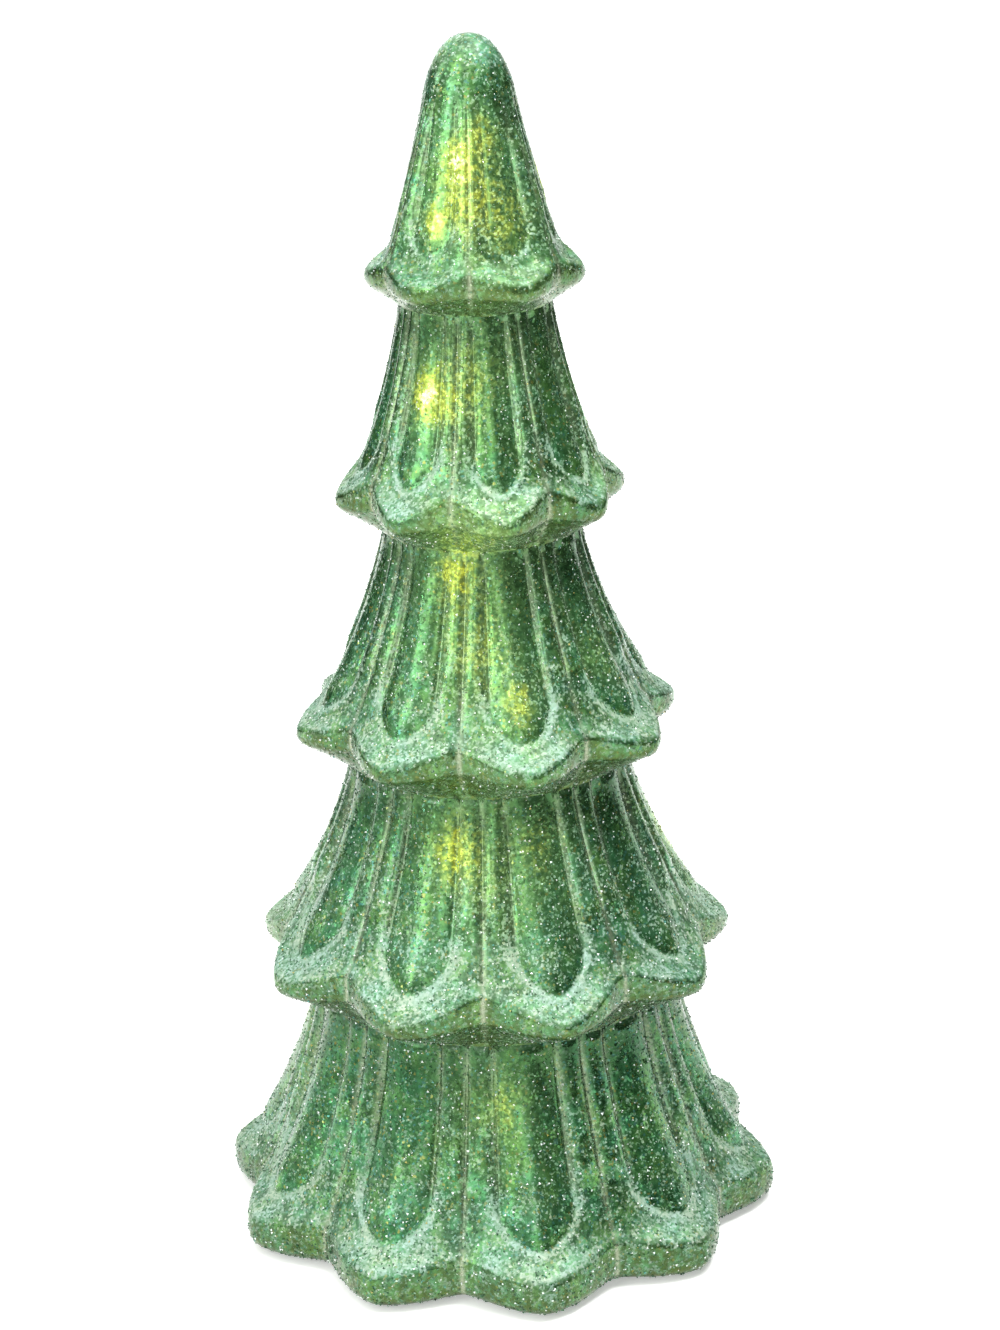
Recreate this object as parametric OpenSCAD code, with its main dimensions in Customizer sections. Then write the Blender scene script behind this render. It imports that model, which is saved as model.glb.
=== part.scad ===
// Light-up glass Christmas tree: a five-tier blown glass shell with scalloped, fluted skirts,
// lit from inside by a string of small lamps and closed below by a battery base.
// Millimetres, +Z up, origin on the table under the middle of the tree, front towards -Y.

/* [Glass] */
// Height from the table to the tip of the tree
tree_h = 305; // [301:0.5:315]
// Thickness of the blown glass
wall = 2; // [1.6:0.1:2.3]
// Height of the lowest lobes above the table
hem_lift = 0.8; // [0.4:0.1:1.6]
// How far the finger flutes stand out
flute_h = 0.9; // [0.3:0.1:1.3]
// Depth of the crease between two lobes
crease_d = 0.5; // [0.1:0.1:0.7]
// Radius of the rounded rims of the upper four tiers
rim_r = 3.2; // [2.8:0.1:4]
// Radius of the rounded rim of the hem tier
hem_rim_r = 4.2; // [3.4:0.1:5]
// Height of the upright band on the hem rim
hem_face = 3; // [1:0.1:4]

/* [Top tier] */
// Number of lobes
top_lobes = 6; // [5:1:9]
// Turn of the first lobe away from the front, in degrees
top_turn = 27; // [0:1:60]
// Radius where the domed tip meets the skirt
top_neck_r = 10.6; // [9.8:0.1:12]
// Height where the domed tip meets the skirt
top_neck_z = 293; // [290:0.5:296]
// Radius at the lobe tips
top_tip_r = 26.8; // [24:0.1:29]
// Radius at the creases between lobes
top_crease_r = 24; // [22:0.1:26]
// Height of the rim at the lobe tips
top_rim_z = 247.5; // [246:0.5:252]
// Rise of the rim from a lobe tip to a crease
top_rise = 3.2; // [1:0.1:5]

/* [Second tier] */
// Number of lobes
second_lobes = 8; // [6:1:10]
// Turn of the first lobe away from the front, in degrees
second_turn = 9; // [0:1:45]
// Radius of the neck under the tier above
second_neck_r = 18.7; // [18:0.1:20]
// Height of the neck under the tier above
second_neck_z = 241; // [239:0.5:243]
// Radius at the lobe tips
second_tip_r = 36.3; // [33:0.1:39]
// Radius at the creases between lobes
second_crease_r = 31.2; // [29:0.1:33]
// Height of the rim at the lobe tips
second_rim_z = 193.2; // [191:0.2:199]
// Rise of the rim from a lobe tip to a crease
second_rise = 5.3; // [2:0.1:7]

/* [Third tier] */
// Number of lobes
third_lobes = 8; // [6:1:10]
// Turn of the first lobe away from the front, in degrees
third_turn = 12.5; // [0:0.5:45]
// Radius of the neck under the tier above
third_neck_r = 24.6; // [23:0.1:26]
// Height of the neck under the tier above
third_neck_z = 184.5; // [182:0.5:187]
// Radius at the lobe tips
third_tip_r = 49.2; // [45:0.1:52]
// Radius at the creases between lobes
third_crease_r = 41.5; // [39:0.1:44]
// Height of the rim at the lobe tips
third_rim_z = 134.1; // [132:0.1:140]
// Rise of the rim from a lobe tip to a crease
third_rise = 4.2; // [1:0.1:6]

/* [Fourth tier] */
// Number of lobes
fourth_lobes = 9; // [7:1:11]
// Turn of the first lobe away from the front, in degrees
fourth_turn = 16.5; // [0:0.5:40]
// Radius of the neck under the tier above
fourth_neck_r = 35.1; // [33:0.1:37]
// Height of the neck under the tier above
fourth_neck_z = 124.6; // [122:0.2:127]
// Radius at the lobe tips
fourth_tip_r = 61.8; // [57:0.1:65]
// Radius at the creases between lobes
fourth_crease_r = 53.9; // [51:0.1:56]
// Height of the rim at the lobe tips
fourth_rim_z = 72.9; // [71:0.1:80]
// Rise of the rim from a lobe tip to a crease
fourth_rise = 6; // [2:0.1:8]

/* [Hem tier] */
// Number of lobes
hem_lobes = 10; // [8:2:12]
// Turn of the first lobe away from the front, in degrees
hem_turn = 8.5; // [0:0.5:36]
// Radius of the neck under the tier above
hem_neck_r = 46.3; // [45:0.1:48]
// Height of the neck under the tier above
hem_neck_z = 63.4; // [61:0.2:66]
// Radius at the lobe tips
hem_tip_r = 72.6; // [69:0.1:76]
// Radius at the creases between lobes
hem_crease_r = 63.6; // [61:0.1:66]
// Rise of the rim from a lobe tip to a crease
hem_rise = 3; // [1:0.1:5]

/* [Base] */
// Radius of the opening under the glass
opening_r = 46; // [45.5:0.1:48]
// Width of the flat glass seat round the opening
seat_w = 6; // [4:0.1:7]
// Height of the rubber feet
foot_h = 2.2; // [1.8:0.1:3]
// Radius of a rubber foot
foot_r = 5; // [3:0.1:5.5]
// Thickness of the base plate
plate_t = 3; // [2.8:0.1:3.6]
// Thickness of the silicone seal between the base plate and the glass
seal_t = 0.8; // [0.4:0.1:1.5]
// Height of the collar that centres the base in the opening
collar_h = 4; // [2:0.1:6]
// Thickness of the collar
collar_t = 1.6; // [1.2:0.1:2]
// Wall of the inner cover
cover_wall = 1.8; // [1.2:0.1:2]
// Height of the inner cover above the base plate
cover_h = 31; // [30:0.5:34]

/* [Batteries] */
// Diameter of a battery cell
cell_d = 14.5; // [13.8:0.1:14.8]
// Length of a battery cell with its button
cell_l = 50.5; // [49:0.1:51.5]
// Length of a pressed contact spring
spring_l = 5; // [4.5:0.1:6]
// Thickness of the contact plates
contact_t = 0.5; // [0.3:0.1:0.6]
// Wall of the battery tub
tub_wall = 1.8; // [1.4:0.1:2]
// Thickness of the battery door
door_t = 2; // [1.6:0.1:2.2]
// Radius of the hinge pin
pin_r = 0.8; // [0.6:0.05:0.9]

/* [Switch] */
// Travel of the slider from ON through OFF to TIMER
switch_travel = 4; // [3:0.1:4.4]
// Width of the slider's knob along its travel
knob_w = 5; // [4:0.1:6]

/* [Lights] */
// Radius of the clear mast
mast_r = 3; // [2:0.1:3.4]
// Radius of the lamp wire
wire_r = 0.6; // [0.4:0.05:0.7]
// Radius of a lamp bead
bead_r = 2; // [1.6:0.1:2.2]

/* [Circuit] */
// Length of the circuit board
board_l = 42; // [40:0.5:46]
// Width of the circuit board
board_w = 30; // [29:0.5:34]
// Thickness of the circuit board
board_t = 1.4; // [1:0.1:1.6]

/* [Hidden] */
$fn = 64;

// Depth by which a cutting solid runs past the face it opens
over = 1;
// Clearance between fixed pieces that slide together
slip = 0.3;
// Clearance of a screw or pin in its hole
hole_gap = 0.05;
// Clearance of a screw in a through hole
screw_gap = 0.15;

// Where the parts of a tier's row stand
LOBES = 0;
TURN = 1;
NECK_R = 2;
NECK_Z = 3;
TIP_R = 4;
CREASE_R = 5;
RIM_Z = 6;
RISE = 7;
RIM_R = 8;
FACE = 9;
hem_rim_z = hem_lift + hem_rim_r + hem_face / 2;
tiers = [
    [top_lobes, top_turn, top_neck_r, top_neck_z, top_tip_r, top_crease_r, top_rim_z, top_rise, rim_r, 0],
    [second_lobes, second_turn, second_neck_r, second_neck_z, second_tip_r, second_crease_r,
     second_rim_z, second_rise, rim_r, 0],
    [third_lobes, third_turn, third_neck_r, third_neck_z, third_tip_r, third_crease_r,
     third_rim_z, third_rise, rim_r, 0],
    [fourth_lobes, fourth_turn, fourth_neck_r, fourth_neck_z, fourth_tip_r, fourth_crease_r,
     fourth_rim_z, fourth_rise, rim_r, 0],
    [hem_lobes, hem_turn, hem_neck_r, hem_neck_z, hem_tip_r, hem_crease_r,
     hem_rim_z, hem_rise, hem_rim_r, hem_face]];
hem = len(tiers) - 1;

// Places across a lobe, from -1 at one crease to 1 at the next: creases, panel edges and crowns
OUTER_PLACES = [-1, -0.8, -0.55, -0.3, 0, 0.3, 0.55, 0.8];
INNER_PLACES = [-1, -0.5, 0, 0.5];
panel_edge = 0.55;
// Sharpness of the lobes in plan: 1 is a pointed star, 2 is round
lobe_power = 1.43;
// Steps down a skirt, from its neck at 0 to the start of its rim at 1
OUTER_STEPS = [0, 0.15, 0.32, 0.5, 0.68, 0.84, 1];
INNER_STEPS = [0, 0.5, 1];
// Slope of a skirt's lip below the horizontal, and how far the curve holds its direction at each end
lip_slope = [6, 24, 24, 24, 24];
neck_hold = [0.02, 0.23, 0.23, 0.23, 0.23];
lip_hold = [0.12, 0.17, 0.17, 0.17, 0.17];
// Angles round a rim, above the horizontal; the hem's rim has an upright band and turns right under
RIM_ANGLES = [20, -20, -57];
INNER_RIM_ANGLES = [-57];
HEM_ANGLES = [30, 0.01, -0.01, -45, -90];
INNER_HEM_ANGLES = [0.01, -0.01, -90];
DOME_ANGLES = [65, 40, 18];

// Base heights and radii, from the table up
plate_z = foot_h;
plate_top = plate_z + plate_t;
seat_z = plate_top + seal_t;
seat_r = opening_r + seat_w;
fit_gap = 0.5;
plate_r = seat_r - fit_gap;
seat_margin = 1;
plate_edge = 0.6;
collar_r = opening_r - fit_gap;
cover_r = collar_r - collar_t - slip;
cover_top = plate_top + cover_h;
cover_roof = 2;
foot_in = 2.5;
foot_ring_r = plate_r - foot_r - foot_in;
foot_angle = 35;

// Battery tub and door
cell_gap = 0.9;
tub_side_gap = 0.5;
cell_count = 3;
cell_pitch = cell_d + cell_gap;
tub_l = cell_l + spring_l + 2 * contact_t;
tub_w = cell_count * cell_d + (cell_count - 1) * cell_gap + 2 * tub_side_gap;
cell_lift = 0.6;
cell_z = plate_z + door_t + cell_lift + cell_d / 2;
tub_ceiling = cell_z + cell_d / 2 + 0.4;
tub_top = tub_ceiling + tub_wall;
// Corners of the tub are cut off, inside and out, to follow the round cover
tub_cut = 2.4;
tub_outer_cut = tub_cut + tub_wall * (2 - sqrt(2));
landing = 1.2;
landing_gap = 0.1;
landing_z = plate_z + door_t + landing_gap;
door_l = tub_l + 2 * landing;
door_w = tub_w + 2 * landing;
door_corner = 2;
button_r = 2.75;
button_l = 1;

// Door hinge: a barrel on the door between two ears on the plate
hinge_r = plate_t / 2;
hinge_y = -(tub_w / 2 + tub_wall + slip + hinge_r);
hinge_z = plate_z + hinge_r;
barrel_l = 18;
ear_w = 3;
ear_gap = 0.3;
ear_rise = 0.3;
notch_side = 4;
notch_room = 1.2;
pin_l = barrel_l + 2 * (ear_w + ear_gap);
notch_w = pin_l + 2 * notch_side;
notch_back = hinge_y - hinge_r - notch_room;

// Snap tongue on the door's free edge
tongue_w = 20;
tongue_l = 8;
tongue_slit = 0.8;
nib_w = 2.4;
nib_out = 0.2;
thumb_w = 12;
thumb_l = 3.5;
thumb_d = 1.6;

// Slide switch on the plate
switch_l = 13;
switch_w = 7;
switch_h = 5;
switch_skin = 0.6;
switch_ear_l = 24;
switch_gap = 1.7;
switch_y = sqrt(pow(cover_r - cover_wall - switch_gap, 2) - pow(switch_ear_l / 2, 2)) - switch_w / 2;
switch_screw_x = 9.5;
switch_screw_r = 1;
switch_pilot_d = 2.2;
switch_head_r = 1.7;
switch_head_h = 1.1;
stem_w = 2;
stem_d = 2.2;
shoe_w = 6;
shoe_d = 5.2;
shoe_h = 2.2;
slot_l = switch_travel + stem_w + 2 * slip;
slot_w = stem_d + 2 * slip;
pocket_l = switch_travel + knob_w + 6;
pocket_w = 8;
pocket_d = 1.5;
knob_d = 5;
knob_lift = 0.2;
pin_count = 3;
pin_step = 3;
pin_h = 3;

// Screws that hold the cover and the board
cover_screw_r = 1.4;
cover_head_r = 2.6;
cover_head_h = 1.5;
cover_screw_l = 12;
cover_post_r = 3.2;
cover_post_ring = (tub_l / 2 + tub_wall + cover_r - cover_wall) / 2;
COVER_POST_ANGLES = [0, 180, 270];
counterbore_d = 1.6;
post_h = 2.4;
post_r = 2.2;
post_in = 3;
board_screw_r = 0.9;
board_head_r = 1.9;
board_head_h = 1.2;
board_screw_l = 4;
board_z = tub_top + post_h;
board_top = board_z + board_t;
lead_r = 0.7;

// Lamp mast and string
socket_r = mast_r + 2.2;
socket_h = 12;
mast_top = top_neck_z - 9;
cap_r = 7.2;
cap_under = 4;
cap_over = 3;
// Turns round the mast against height: the string climbs from the cover to the cap
WINDING = [[-0.2, cover_top + 1.8], [0, cover_top + 5.8], [2.9, 101], [3.1, 103.5], [5.1, 140], [6.9, 174.5],
           [8.8, 217], [10.8, mast_top - 24.5], [11.9, mast_top - 8]];
// Turns round the mast against the radius at which the string runs
WINDING_R = [[0, 9], [0.9, 14], [2.85, 16], [5.1, 14], [6.9, 12.5], [8.7, 13.5], [9.9, 11.5], [10.8, 9.5],
             [11.9, 5.5]];
// Turns at which the lamps sit
LAMP_TURNS = [0.02, 0.6, 1.2, 1.8, 2.35, 2.9, 3.13, 3.8, 4.45, 5.1, 5.7, 6.3, 6.9, 7.5, 8.15, 8.82, 9.45,
              10.1, 10.8, 11.35, 11.85];
rings_a_turn = 24;
bead_bore = wire_r + 0.45;

function unit(v) = v / norm(v);
function wrap(k, n) = (k % n + n) % n;
function clamp(x) = min(1, max(0, x));

// Point at a radius, a turn from the front and a height
function around(r, a, z) = [r * sin(a), -r * cos(a), z];

// Relief of a skirt across a lobe: a wide panel, a narrow flute on each side and a crease
function relief(place, step) =
    let (a = abs(place),
         side_mid = (1 + panel_edge) / 2,
         side_half = (1 - panel_edge) / 2,
         crown = a < panel_edge ? 1 - pow(a / panel_edge, 2) : 0.75 * (1 - pow((a - side_mid) / side_half, 2)),
         fade = min(1, 0.5 + 3 * step) * clamp((0.95 - step) / 0.2))
    flute_h * fade * crown - (a == 1 ? crease_d : 0);

// Centre of a rim's arc at a place across a lobe, as radius and height
function rim_centre(tier, place, upper) =
    let (g = pow(abs(place), lobe_power))
    [tier[TIP_R] - (tier[TIP_R] - tier[CREASE_R]) * g - tier[RIM_R],
     tier[RIM_Z] + tier[RISE] * g + (upper ? 0.5 : -0.5) * tier[FACE]];

// Skirt curve from the neck to the start of the rim, set in from the outside by inset
function skirt_point(k, place, inset, step) =
    let (tier = tiers[k],
         slope = lip_slope[k],
         top = [tier[NECK_R] - inset, tier[NECK_Z] + inset * 0.55],
         end = rim_centre(tier, place, true) + (tier[RIM_R] - inset) * [sin(slope), cos(slope)],
         span = norm(end - top),
         hold_top = top + neck_hold[k] * span * [0.06, -1],
         hold_end = end + lip_hold[k] * span * [-cos(slope), sin(slope)],
         u = 1 - step)
    u * u * u * top + 3 * step * u * u * hold_top + 3 * step * step * u * hold_end + step * step * step * end;

function rim_point(k, place, inset, angle) =
    rim_centre(tiers[k], place, angle > 0) + (tiers[k][RIM_R] - inset) * [cos(angle), sin(angle)];

// Turn of a place on a lobe
function turn_of(k, lobe, place) = tiers[k][TURN] + (lobe + place / 2) * 360 / tiers[k][LOBES];

// A ring holds its first turn and its points
function skirt_ring(k, places, inset, step) =
    [turn_of(k, 0, -1), [for (lobe = [0:tiers[k][LOBES] - 1]) for (p = places)
        let (q = skirt_point(k, p, inset, step), bump = inset > 0 ? 0 : relief(p, step))
        around(q[0] + bump, turn_of(k, lobe, p), q[1])]];

function rim_ring(k, places, inset, angle) =
    [turn_of(k, 0, -1), [for (lobe = [0:tiers[k][LOBES] - 1]) for (p = places)
        let (q = rim_point(k, p, inset, angle), bump = inset > 0 || abs(p) < 1 ? 0 : -crease_d)
        around(q[0] + bump, turn_of(k, lobe, p), q[1])]];

function round_ring(k, places, r, z) =
    [turn_of(k, 0, -1), [for (lobe = [0:tiers[k][LOBES] - 1]) for (p = places)
        around(r, turn_of(k, lobe, p), z)]];

function dome_ring(places, inset, angle) =
    round_ring(0, places, (top_neck_r - inset) * cos(angle),
               top_neck_z + inset * 0.55 + (tree_h - top_neck_z - inset * 1.55) * sin(angle));

// Rings of the glass from the outer tip down, in under the hem, and up the inside to the inner tip
function glass_rings() = concat(
    [for (a = DOME_ANGLES) dome_ring(OUTER_PLACES, 0, a)],
    [for (k = [0:hem]) each concat(
        [for (s = OUTER_STEPS) skirt_ring(k, OUTER_PLACES, 0, s)],
        [for (a = k == hem ? HEM_ANGLES : RIM_ANGLES) rim_ring(k, OUTER_PLACES, 0, a)])],
    [round_ring(hem, OUTER_PLACES, seat_r + seat_margin, seat_z),
     round_ring(hem, OUTER_PLACES, opening_r, seat_z),
     round_ring(hem, INNER_PLACES, opening_r, seat_z + wall),
     round_ring(hem, INNER_PLACES, seat_r + seat_margin, seat_z + wall)],
    [for (k = [hem:-1:0]) each concat(
        [for (i = [len(k == hem ? INNER_HEM_ANGLES : INNER_RIM_ANGLES) - 1:-1:0])
            rim_ring(k, INNER_PLACES, wall, (k == hem ? INNER_HEM_ANGLES : INNER_RIM_ANGLES)[i])],
        [for (i = [len(INNER_STEPS) - 1:-1:0]) skirt_ring(k, INNER_PLACES, wall, INNER_STEPS[i])])],
    [for (i = [len(DOME_ANGLES) - 1:-1:0]) dome_ring(INNER_PLACES, wall, DOME_ANGLES[i])]);

// Triangles between two rings of any counts, taken in the order of their edges' middles
function band(i, j, m, n, shift) = concat(
    [for (k = [0:m - 1])
        [i + k, i + (k + 1) % m, j + wrap(ceil(n * ((k + 0.5) / m + shift) - 0.5), n)]],
    [for (k = [0:n - 1])
        [j + (k + 1) % n, j + k, i + wrap(floor(m * ((k + 0.5) / n - shift) - 0.5) + 1, m)]]);

// Place of each ring's first point in the list of all points, after the outer tip
function ring_starts(rings) = [for (i = 0, at = 1; i < len(rings); at = at + len(rings[i][1]), i = i + 1) at];

module glass_tree() {
    rings = glass_rings();
    starts = ring_starts(rings);
    last = len(rings) - 1;
    first_n = len(rings[0][1]);
    last_n = len(rings[last][1]);
    inner_tip = starts[last] + last_n;
    color("seagreen")
        polyhedron(
            points = concat([[0, 0, tree_h]], [for (r = rings) each r[1]], [[0, 0, tree_h - wall]]),
            faces = concat(
                [for (k = [0:first_n - 1]) [0, starts[0] + (k + 1) % first_n, starts[0] + k]],
                [for (i = [0:last - 1]) each band(starts[i], starts[i + 1], len(rings[i][1]),
                    len(rings[i + 1][1]), (rings[i][0] - rings[i + 1][0]) / 360)],
                [for (k = [0:last_n - 1]) [starts[last] + k, starts[last] + (k + 1) % last_n, inner_tip]]),
            convexity = 12);
}

// Plate with rounded corners
module rounded_plate(l, w, corner, h) {
    linear_extrude(h)
        polygon([for (c = [[1, 1, 0], [-1, 1, 90], [-1, -1, 180], [1, -1, 270]]) for (a = [0:15:90])
            [c[0] * (l / 2 - corner) + corner * cos(c[2] + a),
             c[1] * (w / 2 - corner) + corner * sin(c[2] + a)]]);
}

// Block centred on X and Y with its upright edges cut off
module cut_corner_block(l, w, cut, h) {
    linear_extrude(h)
        polygon([for (c = [[1, 1], [-1, 1], [-1, -1], [1, -1]]) each
            let (end = [c[0] * l / 2, c[1] * (w / 2 - cut)], side = [c[0] * (l / 2 - cut), c[1] * w / 2])
            c[0] * c[1] > 0 ? [end, side] : [side, end]]);
}

module ring(outer_r, inner_r, h) {
    difference() {
        cylinder(r = outer_r, h = h);
        translate([0, 0, -over])
            cylinder(r = inner_r, h = h + 2 * over);
    }
}

// Box centred on X and Y, standing on its Z
module block(l, w, h) {
    translate([-l / 2, -w / 2, 0])
        cube([l, w, h]);
}

// Screw with its shank up +Z from the underside of its head at 0, and a cross recess below
module screw(shank_r, shank_l, head_r, head_h) {
    difference() {
        union() {
            cylinder(r = shank_r, h = shank_l);
            translate([0, 0, -head_h])
                cylinder(r = head_r, h = head_h);
        }
        for (a = [0, 90])
            rotate([0, 0, a])
                translate([0, 0, -head_h - over])
                    block(head_r * 1.3, head_r * 0.3, over + head_h * 0.5);
    }
}

module seal_ring() {
    color("white")
        translate([0, 0, plate_top])
            ring(plate_r - fit_gap, opening_r + fit_gap, seal_t);
}

module at_feet() {
    for (x = [-1, 1], y = [-1, 1])
        translate([x * foot_ring_r * cos(foot_angle), y * foot_ring_r * sin(foot_angle), 0])
            children();
}

module rubber_feet() {
    color("dimgray")
        at_feet()
            rotate_extrude()
                polygon([[0, 0], [foot_r - 0.8, 0], [foot_r - 0.2, 0.6], [foot_r, foot_h], [0, foot_h]]);
}

module at_cover_posts() {
    for (a = COVER_POST_ANGLES)
        translate([cover_post_ring * cos(a), cover_post_ring * sin(a), 0])
            children();
}

module at_board_posts() {
    for (x = [-1, 1], y = [-1, 1])
        translate([x * (board_l / 2 - post_in), y * (board_w / 2 - post_in), 0])
            children();
}

// Upright tab of a terminal plate, at the end wall given by side and the row given by row
function tab_x(side) = side * (tub_l / 2 - contact_t / 2);
tab_w = 3;
tab_top = tub_top + 3;

module base_plate() {
    color("darkgreen") {
        difference() {
            union() {
                rotate_extrude()
                    polygon([[0, plate_z], [plate_r - plate_edge, plate_z], [plate_r, plate_z + plate_edge],
                             [plate_r, plate_top], [0, plate_top]]);
                translate([0, 0, plate_top])
                    ring(collar_r, collar_r - collar_t, collar_h);
                translate([0, 0, plate_z])
                    cut_corner_block(tub_l + 2 * tub_wall, tub_w + 2 * tub_wall, tub_outer_cut,
                                     tub_top - plate_z);
                at_board_posts()
                    translate([0, 0, tub_top - over])
                        cylinder(r = post_r, h = post_h + over);
            }
            // battery hollow, door recess and the room the door turns in
            translate([0, 0, plate_z - over])
                cut_corner_block(tub_l, tub_w, tub_cut, tub_ceiling - plate_z + over);
            translate([0, 0, plate_z - over])
                rounded_plate(door_l + 2 * slip, door_w + 2 * slip, door_corner + slip,
                              door_t + landing_gap + over);
            translate([-door_l / 2 - slip, notch_back, plate_z - over])
                cube([door_l + 2 * slip, -door_w / 4 - notch_back, door_t + landing_gap + over]);
            translate([-notch_w / 2, notch_back, plate_z - over])
                cube([notch_w, -tub_w / 2 - tub_wall - notch_back, plate_t + 2 * over]);
            // thumb notch at the tongue
            translate([-thumb_w / 2, door_w / 4, plate_z - over])
                cube([thumb_w, door_w / 4 + slip + thumb_l, thumb_d + over]);
            // slots for the two terminal tabs
            for (side = [-1, 1])
                translate([tab_x(side), -side * cell_pitch, tub_ceiling - over])
                    block(contact_t + slip, tab_w + slip, tub_wall + 2 * over);
            // switch pocket, slot and pilot holes
            translate([0, switch_y, plate_z - over])
                block(pocket_l, pocket_w, pocket_d + over);
            translate([0, switch_y, plate_z - over])
                block(slot_l, slot_w, plate_t + 2 * over);
            for (x = [-1, 1])
                translate([x * switch_screw_x, switch_y, plate_top - switch_pilot_d])
                    cylinder(r = switch_screw_r + hole_gap, h = switch_pilot_d + over);
            // cover screws from below
            at_cover_posts() {
                translate([0, 0, plate_z - over])
                    cylinder(r = cover_head_r + slip, h = counterbore_d + over);
                translate([0, 0, plate_z - over])
                    cylinder(r = cover_screw_r + screw_gap, h = plate_t + 2 * over);
            }
            at_board_posts()
                translate([0, 0, board_z - board_screw_l])
                    cylinder(r = board_screw_r + hole_gap, h = board_screw_l + over);
        }
        // hinge ears, hung from the plate's upper half behind the pin
        for (side = [-1, 1])
            translate([side * (barrel_l / 2 + ear_gap + ear_w / 2), hinge_y, hinge_z])
                difference() {
                    union() {
                        rotate([0, 90, 0])
                            cylinder(r = hinge_r, h = ear_w, center = true);
                        translate([-ear_w / 2, notch_back - hinge_y - over, ear_rise])
                            cube([ear_w, hinge_y - notch_back + over, hinge_r - ear_rise]);
                    }
                    rotate([0, 90, 0])
                        cylinder(r = pin_r + hole_gap / 2, h = ear_w + 2 * over, center = true);
                }
    }
}

module inner_cover() {
    color("honeydew")
        difference() {
            union() {
                rotate_extrude()
                    polygon([[cover_r - cover_wall, plate_top], [cover_r, plate_top], [cover_r, cover_top - 6],
                             [cover_r - 2, cover_top - 2], [cover_r - 6, cover_top],
                             [socket_r, cover_top], [socket_r, cover_top + socket_h],
                             [mast_r + hole_gap, cover_top + socket_h], [mast_r + hole_gap, cover_top],
                             [0, cover_top], [0, cover_top - cover_roof], [cover_r - 7, cover_top - cover_roof],
                             [cover_r - cover_wall, cover_top - 7]]);
                at_cover_posts()
                    translate([0, 0, plate_top])
                        cylinder(r = cover_post_r, h = cover_h - cover_roof / 2);
            }
            at_cover_posts()
                translate([0, 0, plate_top - over])
                    cylinder(r = cover_screw_r + hole_gap, h = cover_screw_l + over);
            translate(concat([wire_exit[0], wire_exit[1]], [cover_top - cover_roof - over]))
                cylinder(r = wire_hole_r, h = cover_roof + 2 * over);
        }
}

module cover_screws() {
    color("silver")
        at_cover_posts()
            translate([0, 0, plate_z + counterbore_d])
                screw(cover_screw_r, cover_screw_l, cover_head_r, cover_head_h);
}

module battery_door() {
    color("darkgreen")
        difference() {
            union() {
                translate([0, 0, plate_z])
                    rounded_plate(door_l, door_w, door_corner, door_t);
                translate([-barrel_l / 2, hinge_y, plate_z])
                    cube([barrel_l, -door_w / 2 - hinge_y + over, hinge_r]);
                translate([0, hinge_y, hinge_z])
                    rotate([0, 90, 0])
                        cylinder(r = hinge_r, h = barrel_l, center = true);
                for (side = [-1, 1])
                    translate([side * (tongue_w / 2 - nib_w), door_w / 2 - over, plate_z + door_t - 0.8])
                        translate([-nib_w / 2, 0, 0])
                            cube([nib_w, over + nib_out, 0.8]);
            }
            translate([0, hinge_y, hinge_z])
                rotate([0, 90, 0])
                    cylinder(r = pin_r + hole_gap, h = barrel_l + 2 * over, center = true);
            for (side = [-1, 1])
                translate([side * (tongue_w + tongue_slit) / 2, door_w / 2 - tongue_l, plate_z - over])
                    translate([-tongue_slit / 2, 0, 0])
                        cube([tongue_slit, tongue_l + over, door_t + 2 * over]);
        }
}

module hinge_pin() {
    color("silver")
        translate([0, hinge_y, hinge_z])
            rotate([0, 90, 0])
                cylinder(r = pin_r, h = pin_l, center = true);
}

// Cell in a row from -1 to 1; the rows take turns to face, as cells in series do
function cell_side(row) = row == 0 ? -1 : 1;

module battery(row) {
    can_l = cell_l - button_l;
    translate([cell_side(row) * (tub_l / 2 - contact_t), row * cell_pitch, cell_z])
        rotate([0, -90 * cell_side(row), 0]) {
            color("gold")
                cylinder(r = button_r, h = button_l);
            color("silver")
                translate([0, 0, button_l])
                    rotate_extrude()
                        polygon([[0, 0], [cell_d / 2 - 0.8, 0], [cell_d / 2, 0.8], [cell_d / 2, can_l - 0.5],
                                 [cell_d / 2 - 0.5, can_l], [0, can_l]]);
        }
}

module battery_1() {
    battery(-1);
}

module battery_2() {
    battery(0);
}

module battery_3() {
    battery(1);
}

// Contact plates on the end walls: two terminals with tabs and two bridges between rows
contact_h = cell_d - 3;
contact_w = cell_d - 5;
module contact_plates() {
    color("lightgray")
        for (side = [-1, 1])
            translate([tab_x(side), 0, cell_z - contact_h / 2]) {
                translate([0, -side * cell_pitch, 0]) {
                    block(contact_t, contact_w, contact_h);
                    block(contact_t, tab_w, tab_top - cell_z + contact_h / 2);
                }
                translate([0, side * cell_pitch / 2, 0])
                    block(contact_t, cell_pitch + contact_w, contact_h);
            }
}

// Tube along a path, as triangles
function tangents(p) = [for (i = [0:len(p) - 1]) unit(p[min(i + 1, len(p) - 1)] - p[max(i - 1, 0)])];
function square_to(n, t) = unit(n - (n * t) * t);
function normals(t, n0) =
    [for (i = 0, n = square_to(n0, t[0]); i < len(t); i = i + 1, n = i < len(t) ? square_to(n, t[i]) : n) n];

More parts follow.
